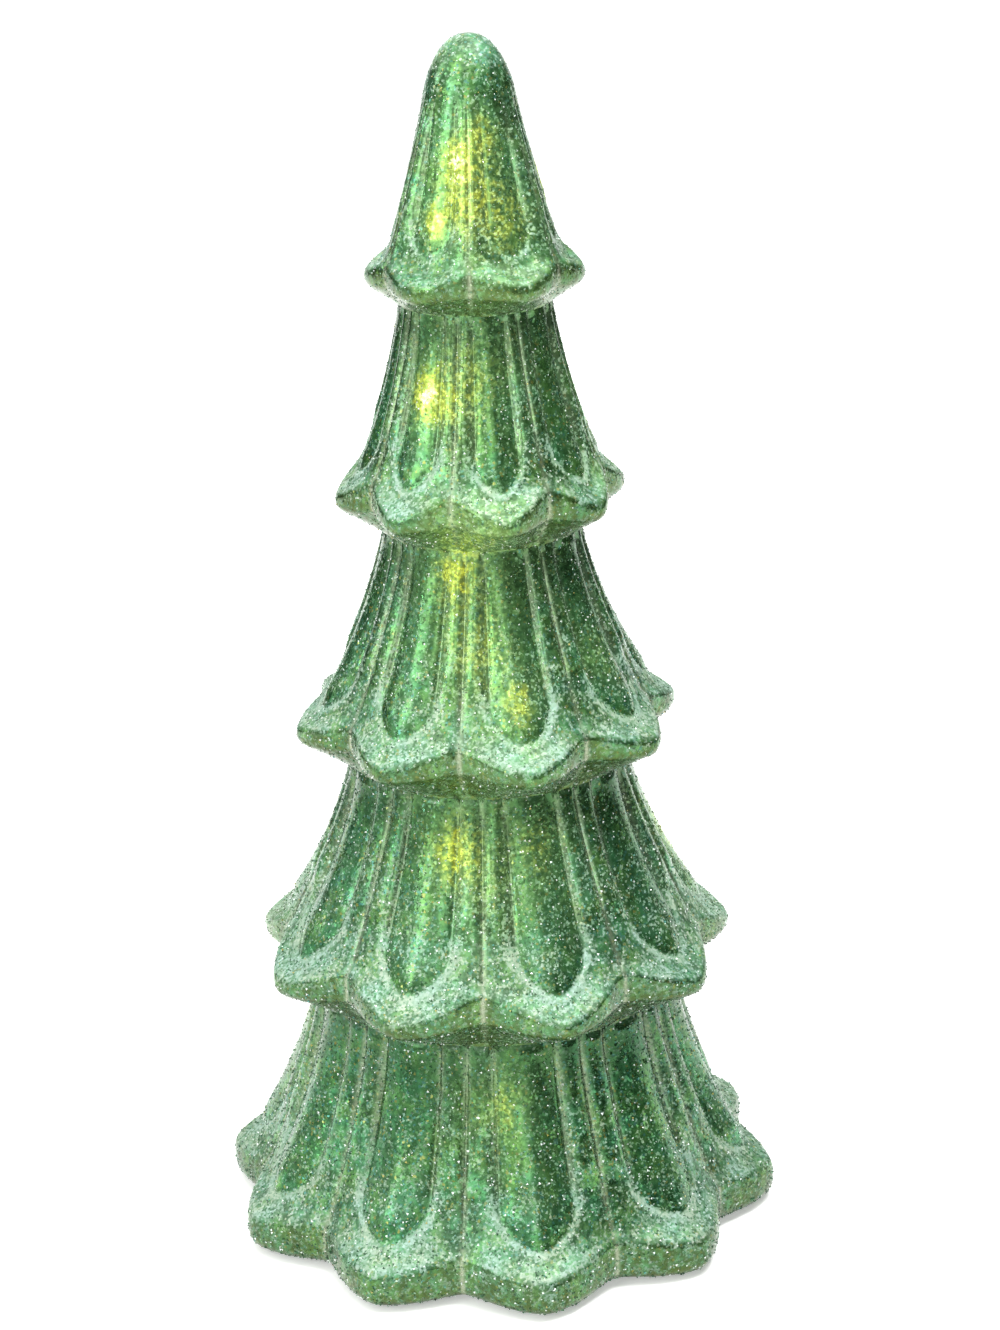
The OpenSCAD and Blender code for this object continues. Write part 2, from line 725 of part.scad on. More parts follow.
module tube(path, r, sides, n0) {
    t = tangents(path);
    n = normals(t, n0);
    last = len(path) - 1;
    end = (last + 1) * sides;
    polyhedron(
        points = concat(
            [for (i = [0:last]) for (k = [0:sides - 1])
                path[i] + r * (cos(360 * k / sides) * n[i] + sin(360 * k / sides) * cross(t[i], n[i]))],
            [path[0], path[last]]),
        faces = concat(
            [for (i = [0:last - 1]) for (k = [0:sides - 1]) each
                let (a = i * sides + k, b = i * sides + (k + 1) % sides)
                [[a, a + sides, b], [b, a + sides, b + sides]]],
            [for (k = [0:sides - 1]) [end, k, (k + 1) % sides]],
            [for (k = [0:sides - 1]) [end + 1, last * sides + (k + 1) % sides, last * sides + k]]));
}

// Least gap of a tube to its own other turns, apart points away or more along its path
function least_gap(path, r, apart) =
    min([for (i = [0:len(path) - 1 - apart])
        min([for (j = [i + apart:len(path) - 1]) norm(path[i] - path[j])])])
    - 2 * r;

// Conical contact spring from its plate to a cell's flat end
spring_wire_r = 0.35;
spring_turns = 3;
spring_wide_r = 4;
spring_narrow_r = 2.4;
rings_a_curl = 8;
function spring_path(row) =
    let (side = -cell_side(row), x0 = side * (tub_l / 2 - contact_t - spring_wire_r),
         rise = spring_l - 2 * spring_wire_r)
    [for (i = [0:spring_turns * rings_a_curl])
        let (f = i / (spring_turns * rings_a_curl), a = 360 * i / rings_a_curl,
             r = spring_wide_r + (spring_narrow_r - spring_wide_r) * f)
        [x0 - side * rise * f, row * cell_pitch + r * cos(a), cell_z + r * sin(a)]];

module contact_springs() {
    color("lightgray")
        for (row = [-1, 0, 1])
            tube(spring_path(row), spring_wire_r, 6, [1, 0, 0]);
}

module switch_body() {
    color("silver")
        translate([0, switch_y, plate_top])
            difference() {
                union() {
                    block(switch_l, switch_w, switch_h);
                    block(switch_ear_l, switch_w, switch_skin);
                    for (i = [0:pin_count - 1])
                        translate([(i - (pin_count - 1) / 2) * pin_step, 0, switch_h - over])
                            block(1, 0.5, pin_h + over);
                }
                translate([0, 0, switch_skin])
                    block(switch_l - 2 * switch_skin, switch_w - 2 * switch_skin, switch_h - 2 * switch_skin);
                translate([0, 0, -over])
                    block(slot_l, slot_w, switch_skin + 2 * over);
                for (x = [-1, 1])
                    translate([x * switch_screw_x, 0, -over])
                        cylinder(r = switch_screw_r + screw_gap, h = switch_skin + 2 * over);
            }
}

// Slider at its ON end: ribbed knob under the plate, stem through the slot, shoe in the switch
module switch_slider() {
    knob_top = plate_z + pocket_d - 0.1;
    knob_z = plate_z + knob_lift;
    shoe_z = plate_top + switch_skin + 0.2;
    color("white")
        translate([-switch_travel / 2, switch_y, 0])
            difference() {
                union() {
                    translate([0, 0, knob_z])
                        block(knob_w, knob_d, knob_top - knob_z);
                    translate([0, 0, knob_z])
                        block(stem_w, stem_d, shoe_z - knob_z + over);
                    translate([0, 0, shoe_z])
                        block(shoe_w, shoe_d, shoe_h);
                }
                for (i = [-1, 0, 1])
                    translate([i * knob_w / 4, 0, knob_z - over])
                        block(0.5, knob_d + 2 * over, over + 0.4);
            }
}

module switch_screws() {
    color("silver")
        for (x = [-1, 1])
            translate([x * switch_screw_x, switch_y, plate_top + switch_skin])
                rotate([180, 0, 0])
                    screw(switch_screw_r, switch_skin + switch_pilot_d - slip, switch_head_r, switch_head_h);
}

module circuit_board() {
    color("green")
        difference() {
            translate([0, 0, board_z])
                rounded_plate(board_l, board_w, 1.5, board_t);
            at_board_posts()
                translate([0, 0, board_z - over])
                    cylinder(r = board_screw_r + screw_gap, h = board_t + 2 * over);
        }
}

module board_screws() {
    color("silver")
        at_board_posts()
            translate([0, 0, board_top])
                rotate([180, 0, 0])
                    screw(board_screw_r, board_t + board_screw_l - 0.6, board_head_r, board_head_h);
}

// Parts on the board
chip_at = [1, 4];
chip_l = 5;
chip_w = 4;
chip_h = 1.6;
capacitor_at = [11, -4];
capacitor_r = 3;
capacitor_headroom = 2.9;
capacitor_h = cover_top - cover_roof - board_top - capacitor_headroom;
crystal_at = [-1, -8];
crystal_r = 1.1;
crystal_l = 6;
resistor_at = [10, 5];
resistor_r = 0.9;
resistor_l = 4;

module timer_chip() {
    color("black")
        translate([chip_at[0], chip_at[1], board_top]) {
            translate([0, 0, 0.2])
                block(chip_l, chip_w, chip_h);
            for (i = [0:3], side = [-1, 1])
                translate([(i - 1.5) * 1.27, side * chip_w / 2, 0])
                    block(0.4, 2, 0.5);
        }
}

module capacitor() {
    color("navy")
        translate([capacitor_at[0], capacitor_at[1], board_top])
            rotate_extrude()
                polygon([[0, 0], [capacitor_r - 0.4, 0], [capacitor_r, 0.4], [capacitor_r, capacitor_h - 0.5],
                         [capacitor_r - 0.5, capacitor_h], [0, capacitor_h]]);
}

module crystal_can() {
    color("silver")
        translate([crystal_at[0] - crystal_l / 2, crystal_at[1], board_top + crystal_r])
            rotate([0, 90, 0])
                cylinder(r = crystal_r, h = crystal_l);
}

module resistors() {
    color("tan")
        for (i = [0, 1])
            translate([resistor_at[0] - resistor_l / 2, resistor_at[1] + i * 3, board_top + resistor_r])
                rotate([0, 90, 0])
                    cylinder(r = resistor_r, h = resistor_l);
}

// Lead that rises from one point, arches over and comes down square on another
function arch(a, b, rise) =
    concat([a], [for (t = [0:15:180])
        a + (b - a) * (1 - cos(t)) / 2 + [0, 0, 1.5 * lead_r + rise * sin(t)]], [b]);
lead_sides = 8;
lead_rise = 4;
pad_in = 3.5;

module battery_lead(side) {
    from = [tab_x(side), -side * cell_pitch, tab_top];
    to = [side * (board_l / 2 - pad_in), -side * (board_w / 2 - 2 * pad_in), board_top];
    tube(arch(from, to, lead_rise), lead_r, lead_sides, [0, 1, 0]);
}

module battery_lead_red() {
    color("red")
        battery_lead(1);
}

module battery_lead_black() {
    color("black")
        battery_lead(-1);
}

module switch_leads() {
    color("white")
        for (i = [0:pin_count - 1])
            let (x = (i - (pin_count - 1) / 2) * pin_step)
                tube(arch([x, switch_y, plate_top + switch_h + pin_h], [x, board_w / 2 - 2, board_top],
                          lead_rise + 2), lead_r, lead_sides, [1, 0, 0]);
}

module light_mast() {
    color("aliceblue")
        translate([0, 0, cover_top])
            cylinder(r = mast_r, h = mast_top - cover_top);
}

// Lamp string: turns against height and radius, square to the board below and to the cap above
first_turn = WINDING[0][0];
last_turn = WINDING[len(WINDING) - 1][0];
turn_steps = round((last_turn - first_turn) * rings_a_turn);
function string_at(turn) =
    around(lookup(turn, WINDING_R), 360 * turn, lookup(turn, WINDING));
string_first = string_at(first_turn);
string_last = string_at(last_turn);
string_foot = around(lookup(0, WINDING_R), 360 * (first_turn - 0.1), board_top);
wire_exit = string_foot + (string_first - string_foot) * 0.72;
wire_hole_r = 3;
function string_path() = concat(
    [string_foot, string_foot + [0, 0, 2 * wire_r]],
    [string_foot + (string_first - string_foot) * 0.4 + [0, 0, 2]],
    [for (i = [0:turn_steps]) string_at(first_turn + (last_turn - first_turn) * i / turn_steps)],
    [[string_last[0], string_last[1], mast_top - cap_under - 1.5],
     [string_last[0], string_last[1], mast_top - cap_under]]);

module light_string() {
    path = string_path();
    echo("least gap of the lamp string to itself", least_gap(path, wire_r, rings_a_turn / 2));
    echo("least gap of a contact spring to itself", least_gap(spring_path(0), spring_wire_r, rings_a_curl / 2));
    color("darkkhaki")
        tube(path, wire_r, 6, [1, 0, 0]);
}

module mast_cap() {
    color("white")
        translate([0, 0, mast_top - cap_under])
            difference() {
                cylinder(r = cap_r, h = cap_under + cap_over);
                translate([0, 0, -over])
                    cylinder(r = mast_r + hole_gap, h = cap_under + over);
            }
}

// Lamp beads, threaded on the wire along its direction
module lamp_beads() {
    color("lightyellow")
        for (turn = LAMP_TURNS)
            let (p = string_at(turn), d = unit(string_at(turn + 0.01) - string_at(turn - 0.01)))
                translate(p)
                    rotate([0, acos(d[2]), atan2(d[1], d[0])])
                        difference() {
                            sphere(r = bead_r);
                            cylinder(r = bead_bore, h = 3 * bead_r, center = true);
                        }
}

glass_tree();
seal_ring();
base_plate();
rubber_feet();
inner_cover();
cover_screws();
battery_door();
hinge_pin();
battery_1();
battery_2();
battery_3();
contact_springs();
contact_plates();
switch_body();
switch_slider();
switch_screws();
circuit_board();
board_screws();
timer_chip();
capacitor();
crystal_can();
resistors();
battery_lead_red();
battery_lead_black();
switch_leads();
light_mast();
mast_cap();
light_string();
lamp_beads();
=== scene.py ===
# %% [markdown]
# # A light-up glass Christmas tree
#
# The tree is one blown glass shell of five flared skirts, lacquered green and rolled in fine glitter. A string of
# small lamps shines through it, and a plastic base with cells and a switch closes it below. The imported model
# already holds every solid at its real size. This lesson dresses it: the shell gets a finer mesh, the glitter
# becomes real grains, and every other piece gets a finish of its own.

# %% Load the frame
import math
from collections import namedtuple

import bpy
import numpy as np
from mathutils import Matrix, Vector


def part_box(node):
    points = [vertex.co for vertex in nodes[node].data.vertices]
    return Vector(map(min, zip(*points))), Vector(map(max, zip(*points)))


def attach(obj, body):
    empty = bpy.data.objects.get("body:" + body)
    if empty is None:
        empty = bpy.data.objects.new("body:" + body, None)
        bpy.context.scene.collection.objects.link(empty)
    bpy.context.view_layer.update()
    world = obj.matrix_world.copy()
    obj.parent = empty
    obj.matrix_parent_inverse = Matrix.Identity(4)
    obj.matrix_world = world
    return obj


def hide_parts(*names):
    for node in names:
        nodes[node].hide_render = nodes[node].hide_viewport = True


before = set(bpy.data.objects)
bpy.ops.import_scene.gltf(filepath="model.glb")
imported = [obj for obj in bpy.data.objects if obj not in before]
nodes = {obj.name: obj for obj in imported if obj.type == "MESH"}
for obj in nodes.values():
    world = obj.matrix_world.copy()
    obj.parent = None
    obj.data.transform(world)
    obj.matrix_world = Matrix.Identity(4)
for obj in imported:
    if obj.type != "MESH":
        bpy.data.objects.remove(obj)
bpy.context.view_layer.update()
MM = 0.001

# %% [markdown]
# ## The camera
#
# A photograph is matched best when the camera comes first, because every later choice is judged through it. The
# place, the downward pitch and the small turn and roll were fitted to the outline of the tree. The focal length is
# for a 36 mm sensor along the picture's long side, which is Blender's own rule for an upright frame.

# %% Camera
CAMERA_PLACE = Vector((0.0, -0.7360, 0.4079))
CAMERA_PITCH = math.radians(19.52)
CAMERA_YAW = math.radians(0.271)
CAMERA_ROLL = math.radians(-1.621)
FOCAL_LENGTH, SENSOR_WIDTH = 83.78, 36.0


def make_camera():
    data = bpy.data.cameras.new("photo_camera")
    data.lens = FOCAL_LENGTH
    data.sensor_width = SENSOR_WIDTH
    camera = bpy.data.objects.new("photo_camera", data)
    bpy.context.scene.collection.objects.link(camera)
    aim = Matrix.Rotation(-CAMERA_YAW, 4, "Z") @ Matrix.Rotation(math.pi / 2 - CAMERA_PITCH, 4, "X")
    camera.matrix_world = Matrix.Translation(CAMERA_PLACE) @ aim @ Matrix.Rotation(CAMERA_ROLL, 4, "Z")
    bpy.context.scene.camera = camera
    return camera


print("camera at", tuple(make_camera().location))

# %% [markdown]
# ## Short calls for node trees
#
# Every finish below is a small network of shader nodes. Writing one through Blender's full interface takes four
# lines a node, which hides the idea. This helper keeps a material and its tree together, sets a socket from either
# a plain value or another node's output, and names the few nodes that are used most.


# %% Finish helper
class Finish:
    """A material under construction, with its Principled shader ready to be wired."""

    def __init__(self, name, **sockets):
        self.material = bpy.data.materials.new(name)
        self.material.use_nodes = True
        self.tree = self.material.node_tree
        self.shader = self.tree.nodes["Principled BSDF"]
        for key, value in sockets.items():
            self.wire(key.replace("_", " "), value)

    def put(self, socket, value):
        if isinstance(value, bpy.types.NodeSocket):
            self.tree.links.new(value, socket)
        else:
            socket.default_value = value

    def wire(self, socket, value):
        self.put(self.shader.inputs[socket], value)

    def add(self, kind, sockets=None, **settings):
        node = self.tree.nodes.new("ShaderNode" + kind)
        for key, value in settings.items():
            setattr(node, key, value)
        for key, value in (sockets or {}).items():
            self.put(node.inputs[key], value)
        return node

    def place(self):
        return self.add("TexCoord").outputs["Object"]

    def axes(self):
        return self.add("SeparateXYZ", {0: self.place()}).outputs

    def normal(self):
        return self.add("NewGeometry").outputs["Normal"]

    def attribute(self, name):
        return self.add("Attribute", attribute_name=name).outputs["Fac"]

    def math(self, operation, a, b=0.0, clamp=False):
        return self.add("Math", {0: a, 1: b}, operation=operation, use_clamp=clamp).outputs[0]

    def times(self, product, *factors):
        for factor in factors:
            product = self.math("MULTIPLY", product, factor)
        return product

    def without(self, share):
        """What a share leaves of 1."""
        return self.math("SUBTRACT", 1.0, share)

    def vector(self, operation, a, b=(0.0, 0.0, 0.0)):
        outputs = self.add("VectorMath", {0: a, 1: b}, operation=operation).outputs
        return outputs["Value" if operation in ("LENGTH", "DOT_PRODUCT") else "Vector"]

    def step(self, value, low, high):
        sockets = {"Value": value, "From Min": low, "From Max": high}
        return self.add("MapRange", sockets, interpolation_type="SMOOTHSTEP").outputs[0]

    def mix(self, factor, a, b):
        return self.add("Mix", {0: factor, 6: a, 7: b}, data_type="RGBA").outputs[2]

    def blend(self, factor, a, b):
        return self.add("Mix", {0: factor, 2: a, 3: b}, data_type="FLOAT").outputs[0]

    def noise(self, scale, detail=2.0, where=None):
        sockets = {"Vector": where or self.place(), "Scale": scale, "Detail": detail}
        return self.add("TexNoise", sockets).outputs["Fac"]

    def patches(self, scale, detail, low, high, where=None):
        return self.step(self.noise(scale, detail, where), low, high)

    def cells(self, scale, **settings):
        return self.add("TexVoronoi", {"Vector": self.place(), "Scale": scale}, **settings).outputs["Color"]

    def split(self, colour):
        return self.add("SeparateColor", {"Color": colour}).outputs

    def bump(self, height, depth, over=None):
        sockets = {"Height": height, "Distance": depth}
        if over:
            sockets["Normal"] = over
        return self.add("Bump", sockets).outputs["Normal"]


def rgb(red, green, blue):
    return (red, green, blue, 1.0)


print("finish helper ready")

# %% [markdown]
# ## The white studio
#
# The photograph has a pure white ground. A plain floor under a white world gives that, if both are bright only for
# the rays that look at them: the camera's, and those that a mirror or a glass sends on. For all other rays they stay
# dim, so that the lamps shape the tree. The floor glows less near the tree, which leaves a soft shadow there, and it
# is clear from below, so that the base can be looked at.

# %% White studio
FLOOR_HALF = 6.0
WORLD_SEEN, WORLD_LIGHT = 1.0, 0.15


def seen_directly(finish):
    """1 for rays from the camera, a mirror or a glass, which are the rays that should meet a white studio."""
    path = finish.add("LightPath").outputs
    direct = finish.math("MAXIMUM", path["Is Camera Ray"], path["Is Glossy Ray"])
    return finish.math("MAXIMUM", direct, path["Is Transmission Ray"])


class Sky(Finish):
    """The world, wired with the same short calls as a finish."""

    def __init__(self):
        world = bpy.data.worlds.new("studio")
        bpy.context.scene.world = world
        world.use_nodes = True
        self.tree = world.node_tree
        self.shader = self.tree.nodes["Background"]
        self.wire("Color", rgb(1.0, 1.0, 1.0))
        self.wire("Strength", self.blend(seen_directly(self), WORLD_LIGHT, WORLD_SEEN))


def make_floor():
    bpy.ops.mesh.primitive_plane_add(size=2 * FLOOR_HALF)
    floor = bpy.context.object
    floor.name = "studio_floor"
    paper = Finish("floor_paper", Base_Color=rgb(0.93, 0.93, 0.92), Roughness=0.9, Emission_Color=rgb(1, 1, 1))
    lift = paper.blend(paper.step(paper.vector("LENGTH", paper.place()), 0.08, 0.5), 0.4, 0.85)
    paper.wire("Emission Strength", paper.times(seen_directly(paper), lift))
    clear = paper.add("BsdfTransparent").outputs[0]
    faced = paper.add("NewGeometry").outputs["Backfacing"]
    mixed = paper.add("MixShader", {0: faced, 1: paper.shader.outputs[0], 2: clear})
    paper.put(paper.tree.nodes["Material Output"].inputs["Surface"], mixed.outputs[0])
    floor.data.materials.append(paper.material)


Sky()
make_floor()
print("floor:", 2 * FLOOR_HALF, "m wide")

# %% [markdown]
# ## Lamps and dark cards
#
# A broad key lamp at the upper left does most of the work, with a weak strip in front. Lamps above and at the upper
# right frost the upward shelves of the skirts, and two more, at the left and behind, draw the edges. Glitter only
# sparkles when it can catch something small and bright, so six little lamps are added that hardly change the
# exposure. Three dark cards, unseen by the camera, give the gloss dark sides to reflect.

# %% Lamps and cards
TREE_MIDDLE = Vector((0.0, 0.0, 0.15))
# Turn from the front and elevation in degrees, then distance, width and height in metres, and watts for a lamp
LAMPS = {
    "key_lamp": (-44, 30, 1.3, 0.6, 0.9, 7),
    "front_lamp": (-7, 20, 1.3, 0.25, 0.8, 1.4),
    "top_lamp": (-12, 78, 1.2, 0.8, 0.8, 7.5),
    "edge_lamp_right": (68, 68, 1.2, 0.5, 0.4, 12),
    "edge_lamp_left": (-100, 36, 1.3, 0.2, 0.9, 3.8),
    "back_lamp": (200, 30, 1.4, 0.6, 0.6, 5),
}
DARK_CARDS = {
    "dark_card_right": (60, 15, 0.9, 1.7, 1.0),
    "dark_card_far_right": (125, 15, 1.3, 1.0, 1.4),
    "dark_card_far_left": (-125, 15, 1.3, 0.9, 1.4),
}
SPARKS = [(-15, 55), (25, 40), (-65, 15), (60, 60), (150, 35), (240, 45)]
SPARK_LAMP = (1.5, 0.05, 0.05, 0.6)


def turn_to_tree(piece, azimuth, elevation, distance):
    """Stands a lamp or a card off from the tree, with its face to it."""
    a, e = math.radians(azimuth), math.radians(elevation)
    back = Vector((math.sin(a) * math.cos(e), -math.cos(a) * math.cos(e), math.sin(e)))
    piece.location = TREE_MIDDLE + distance * back
    piece.rotation_mode = "QUATERNION"
    piece.rotation_quaternion = back.to_track_quat("Z", "Y")


def soft_lamp(name, azimuth, elevation, distance, wide, tall, watts):
    data = bpy.data.lights.new(name, "AREA")
    data.shape = "RECTANGLE"
    data.size = wide
    data.size_y = tall
    data.energy = watts
    lamp = bpy.data.objects.new(name, data)
    bpy.context.scene.collection.objects.link(lamp)
    turn_to_tree(lamp, azimuth, elevation, distance)


def dark_card(name, azimuth, elevation, distance, wide, tall):
    bpy.ops.mesh.primitive_plane_add(size=1)
    card = bpy.context.object
    card.name = name
    card.scale = (wide, tall, 1)
    turn_to_tree(card, azimuth, elevation, distance)
    card.data.materials.append(Finish(name, Base_Color=rgb(0.02, 0.03, 0.025), Roughness=0.9).material)
    card.visible_camera = False


for name, setting in LAMPS.items():
    soft_lamp(name, *setting)
for name, setting in DARK_CARDS.items():
    dark_card(name, *setting)
for number, aim in enumerate(SPARKS):
    soft_lamp(f"spark_lamp_{number}", *aim, *SPARK_LAMP)
print("lamps:", [lamp.name for lamp in bpy.data.lights])

# %% [markdown]
# ## The shape of one skirt
#
# Each tier is a skirt hung from a round neck and ending in a rolled rim. Seen from above the rim is a ring of
# lobes, and each lobe carries a wide finger panel with a round lower end, a narrow flute on each side of it, and a
# fine crease where it meets the next lobe. All of that is one formula of two numbers: the place across a lobe, from
# -1 to 1 between creases, and the step down the skirt, from 0 at the neck to 1 where the rim begins. The sizes are
# those of the solid, in millimetres, so the fine mesh lies where the solid does. Only the lips are a little fuller
# than the solid's at the creases, where blown glass rounds off.

# %% Tier sizes and the skirt curve
Tier = namedtuple("Tier", "lobes turn neck_r neck_z tip_r crease_r rim_z rise rim_r face slope neck_hold lip_hold "
                          "columns band")
TIERS = [
    Tier(6, 27.0, 10.6, 293.0, 26.8, 24.0, 247.5, 3.2, 3.2, 0.0, 6, 0.02, 0.12, 36, 0.65),
    Tier(8, 9.0, 18.7, 241.0, 36.3, 31.2, 193.2, 5.3, 3.2, 0.0, 24, 0.23, 0.17, 36, 0.9),
    Tier(8, 12.5, 24.6, 184.5, 49.2, 41.5, 134.1, 4.2, 3.2, 0.0, 24, 0.23, 0.17, 42, 0.85),
    Tier(9, 16.5, 35.1, 124.6, 61.8, 53.9, 72.9, 6.0, 3.2, 0.0, 24, 0.23, 0.17, 46, 1.0),
    Tier(10, 8.5, 46.3, 63.4, 72.6, 63.6, 6.5, 3.0, 4.2, 3.0, 24, 0.23, 0.17, 50, 1.0),
]
TREE_TOP, WALL = 305.0, 2.0
LOBE_POWER, VALLEY_SOFTNESS = 1.43, 0.2
LOWER_RISE, CREASE_SLOPE = 0.25, 62.0
NECK_LEAN, INNER_LIFT = 0.06, 0.55


def cubic(step, start, start_hold, end_hold, end):
    """A curve from start to end that sets out towards one hold and arrives from the other."""
    back = 1 - step
    return back**3 * start + 3 * step * back**2 * start_hold + 3 * step**2 * back * end_hold + step**3 * end


def lobe_reach(place):
    """How far a place lies from its lobe's tip towards the crease, 0 to 1, with the valley a little rounded."""
    away = 1 - np.abs(place)
    soft = np.sqrt(away**2 + VALLEY_SOFTNESS**2) - VALLEY_SOFTNESS
    reach = 1 - soft / (math.sqrt(1 + VALLEY_SOFTNESS**2) - VALLEY_SOFTNESS)
    return np.clip(reach, 0, 1) ** LOBE_POWER


def rim_centre(tier, place, upper):
    reach = lobe_reach(place)
    radius = tier.tip_r - (tier.tip_r - tier.crease_r) * reach - tier.rim_r
    if upper:
        return radius, tier.rim_z + tier.rise * reach + tier.face / 2
    return radius, tier.rim_z + LOWER_RISE * tier.rise * reach - tier.face / 2


def rim_slope(tier, place):
    """Slope of the skirt where the rim begins: a shelf at the lobe's tip, steep at the crease."""
    return np.radians(tier.slope + (CREASE_SLOPE - tier.slope) * lobe_reach(place) ** 2)


def skirt_curve(tier, place, step, inset=0.0):
    """Radius and height on a skirt: a cubic curve that leaves the neck downwards and meets the rim's slope."""
    slope = rim_slope(tier, place)
    centre_r, centre_z = rim_centre(tier, place, True)
    end_r = centre_r + (tier.rim_r - inset) * np.sin(slope)
    end_z = centre_z + (tier.rim_r - inset) * np.cos(slope)
    top_r = tier.neck_r - inset
    top_z = tier.neck_z + INNER_LIFT * inset
    span = np.hypot(end_r - top_r, end_z - top_z)
    hold_r = top_r + NECK_LEAN * tier.neck_hold * span
    hold_z = top_z - tier.neck_hold * span
    lip_r = end_r - tier.lip_hold * span * np.cos(slope)
    lip_z = end_z + tier.lip_hold * span * np.sin(slope)
    return cubic(step, top_r, hold_r, lip_r, end_r), cubic(step, top_z, hold_z, lip_z, end_z)


print("tiers:", len(TIERS), "lobes:", [tier.lobes for tier in TIERS])

# %% [markdown]
# ## The relief on a skirt
#
# Blown glass takes its relief from the mould, so it is part of the shape and not a painted line. The signed
# distance to the outline of the finger panel drives it: inside the panel the glass swells, outside it the flute
# swells, and the two meet in a shallow groove. A low band runs round the panel's lower end. The same distance also
# gives three marks, kept for each point, that later tell the finish where the pale creases, the panels and the
# frosted bands lie.

# %% Relief
PANEL_SHARE, PANEL_CROWN, PANEL_GROOVE = 0.52, 0.17, 0.4
PANEL_END_ROUND, PANEL_END_CLEAR = 0.8, 6.0
FLUTE_CROWN, SINK = 0.2, 0.07
VALLEY_GROOVE, GROOVE_WIDTH = 0.14, 0.6
# Shares of the flute and the groove that are lost beside the panel's end, and the length over which a rim takes over
FLUTE_LOSS, GROOVE_LOSS, RIM_TAKEOVER = 0.7, 0.8, 4.0
EDGE_PALE, EDGE_OUT, EDGE_WIDTH, VALLEY_PALE = 0.45, 0.4, 0.8, 0.6
BAND_OUT, BAND_WIDTH, BAND_RAISE, BAND_SIDE = 1.4, 1.4, 0.35, 0.15
FIRST_RELIEF, FIRST_FROM, FIRST_FULL = 0.8, 0.02, 0.5
NECK_RELIEF, NECK_GAIN = 0.4, 3.0


def smooth(value, low, high):
    t = np.clip((value - low) / (high - low), 0, 1)
    return t * t * (3 - 2 * t)


def line_of(distance, width):
    return np.exp(-((distance / width) ** 2))


def relief_start(tier, step):
    """Relief lets in below the neck, and more slowly under the plain tip."""
    if tier is TIERS[0]:
        return FIRST_RELIEF * smooth(step, FIRST_FROM, FIRST_FULL)
    return np.minimum(1, NECK_RELIEF + NECK_GAIN * step)


def relief(tier, place, step, radius, to_end):
    """Swell in millimetres, with the crease, panel and frost amounts, from a place on the skirt."""
    half_lobe = radius * math.pi / tier.lobes
    panel_half = PANEL_SHARE * half_lobe
    end_middle = PANEL_END_CLEAR + PANEL_END_ROUND * panel_half
    below = np.maximum(0, end_middle - to_end) / PANEL_END_ROUND
    from_panel = np.hypot(place * half_lobe, below) - panel_half
    from_valley = (1 - np.abs(place)) * half_lobe
    inner = np.clip(-from_panel / panel_half, 0, 1)
    outer = np.maximum(from_panel, 0)
    near_end = smooth(to_end, end_middle + panel_half, end_middle)
    ends = smooth(to_end, 0.0, RIM_TAKEOVER)
    crown = PANEL_CROWN * panel_half * (1 - (1 - inner) ** 2) - SINK * panel_half
    flute = 4 * outer * from_valley / np.maximum((outer + from_valley) ** 2, 1e-6)
    flute = FLUTE_CROWN * (half_lobe - panel_half) * flute * (1 - FLUTE_LOSS * near_end)
    groove = PANEL_GROOVE * line_of(from_panel, GROOVE_WIDTH) * ends * (1 - GROOVE_LOSS * near_end)
    valley = VALLEY_GROOVE * line_of(from_valley, GROOVE_WIDTH)
    edge = EDGE_PALE * line_of(from_panel - EDGE_OUT, EDGE_WIDTH) * (1 - near_end)
    crease = np.maximum(edge, VALLEY_PALE * line_of(from_valley, EDGE_WIDTH))
    frost = tier.band * (BAND_SIDE + (1 - BAND_SIDE) * near_end) * line_of(from_panel - BAND_OUT, BAND_WIDTH)
    panel = smooth(-from_panel, -EDGE_OUT, EDGE_WIDTH)
    swell = (crown + flute) * ends + BAND_RAISE * frost - groove - valley
    starts = relief_start(tier, step)
    return swell * starts, crease * starts, panel * starts, frost * starts


print("groove width", GROOVE_WIDTH, "mm")

# %% [markdown]
# ## Columns round a tier
#
# The mesh of a tier is a grid of rows down the skirt and columns round it. The columns crowd together at the creases
# and at the panel's edges, where the shape changes fastest, and lie wider elsewhere. That keeps the relief crisp with
# fewer faces than an even grid would need.

# %% Columns
# How much denser the columns are, and over what share of a lobe
PANEL_CROWD, CREASE_CROWD = (1.6, 0.09), (2.6, 0.06)


def crowded_places(columns):
    """Places across one lobe from -1 up to, but without, 1."""
    fine = np.linspace(0, 1, 2001)
    density = 1 + PANEL_CROWD[0] * line_of(fine - PANEL_SHARE, PANEL_CROWD[1])
    density += CREASE_CROWD[0] * line_of(1 - fine, CREASE_CROWD[1])
    total = np.concatenate([[0], np.cumsum((density[1:] + density[:-1]) / 2)])
    half = np.interp(np.linspace(0, total[-1], columns // 2 + 1), total, fine)
    return np.concatenate([-half[:0:-1], half[:-1]])


def lobe_grid(tier):
    """Place across its lobe, and angle from the front in degrees, of each column round a tier."""
    places = crowded_places(tier.columns)
    lobes = np.repeat(np.arange(tier.lobes), len(places))
    place = np.tile(places, tier.lobes)
    return place, tier.turn + (lobes + place / 2) * 360 / tier.lobes


print("columns round each tier:", [tier.lobes * tier.columns for tier in TIERS])

# %% [markdown]
# ## Rings into a mesh
#
# The shell is built as a stack of rings, from the outer tip down to the hem, in under it, and up the inside. Rings
# of one tier have the same number of points and are joined by quads. Two tiers have different lobe counts, so at a
# neck the two rings are zipped together with triangles, always taking the nearer next point.

# %% Ring builder
MARKS = ("crease", "under", "panel", "frost", "neck")


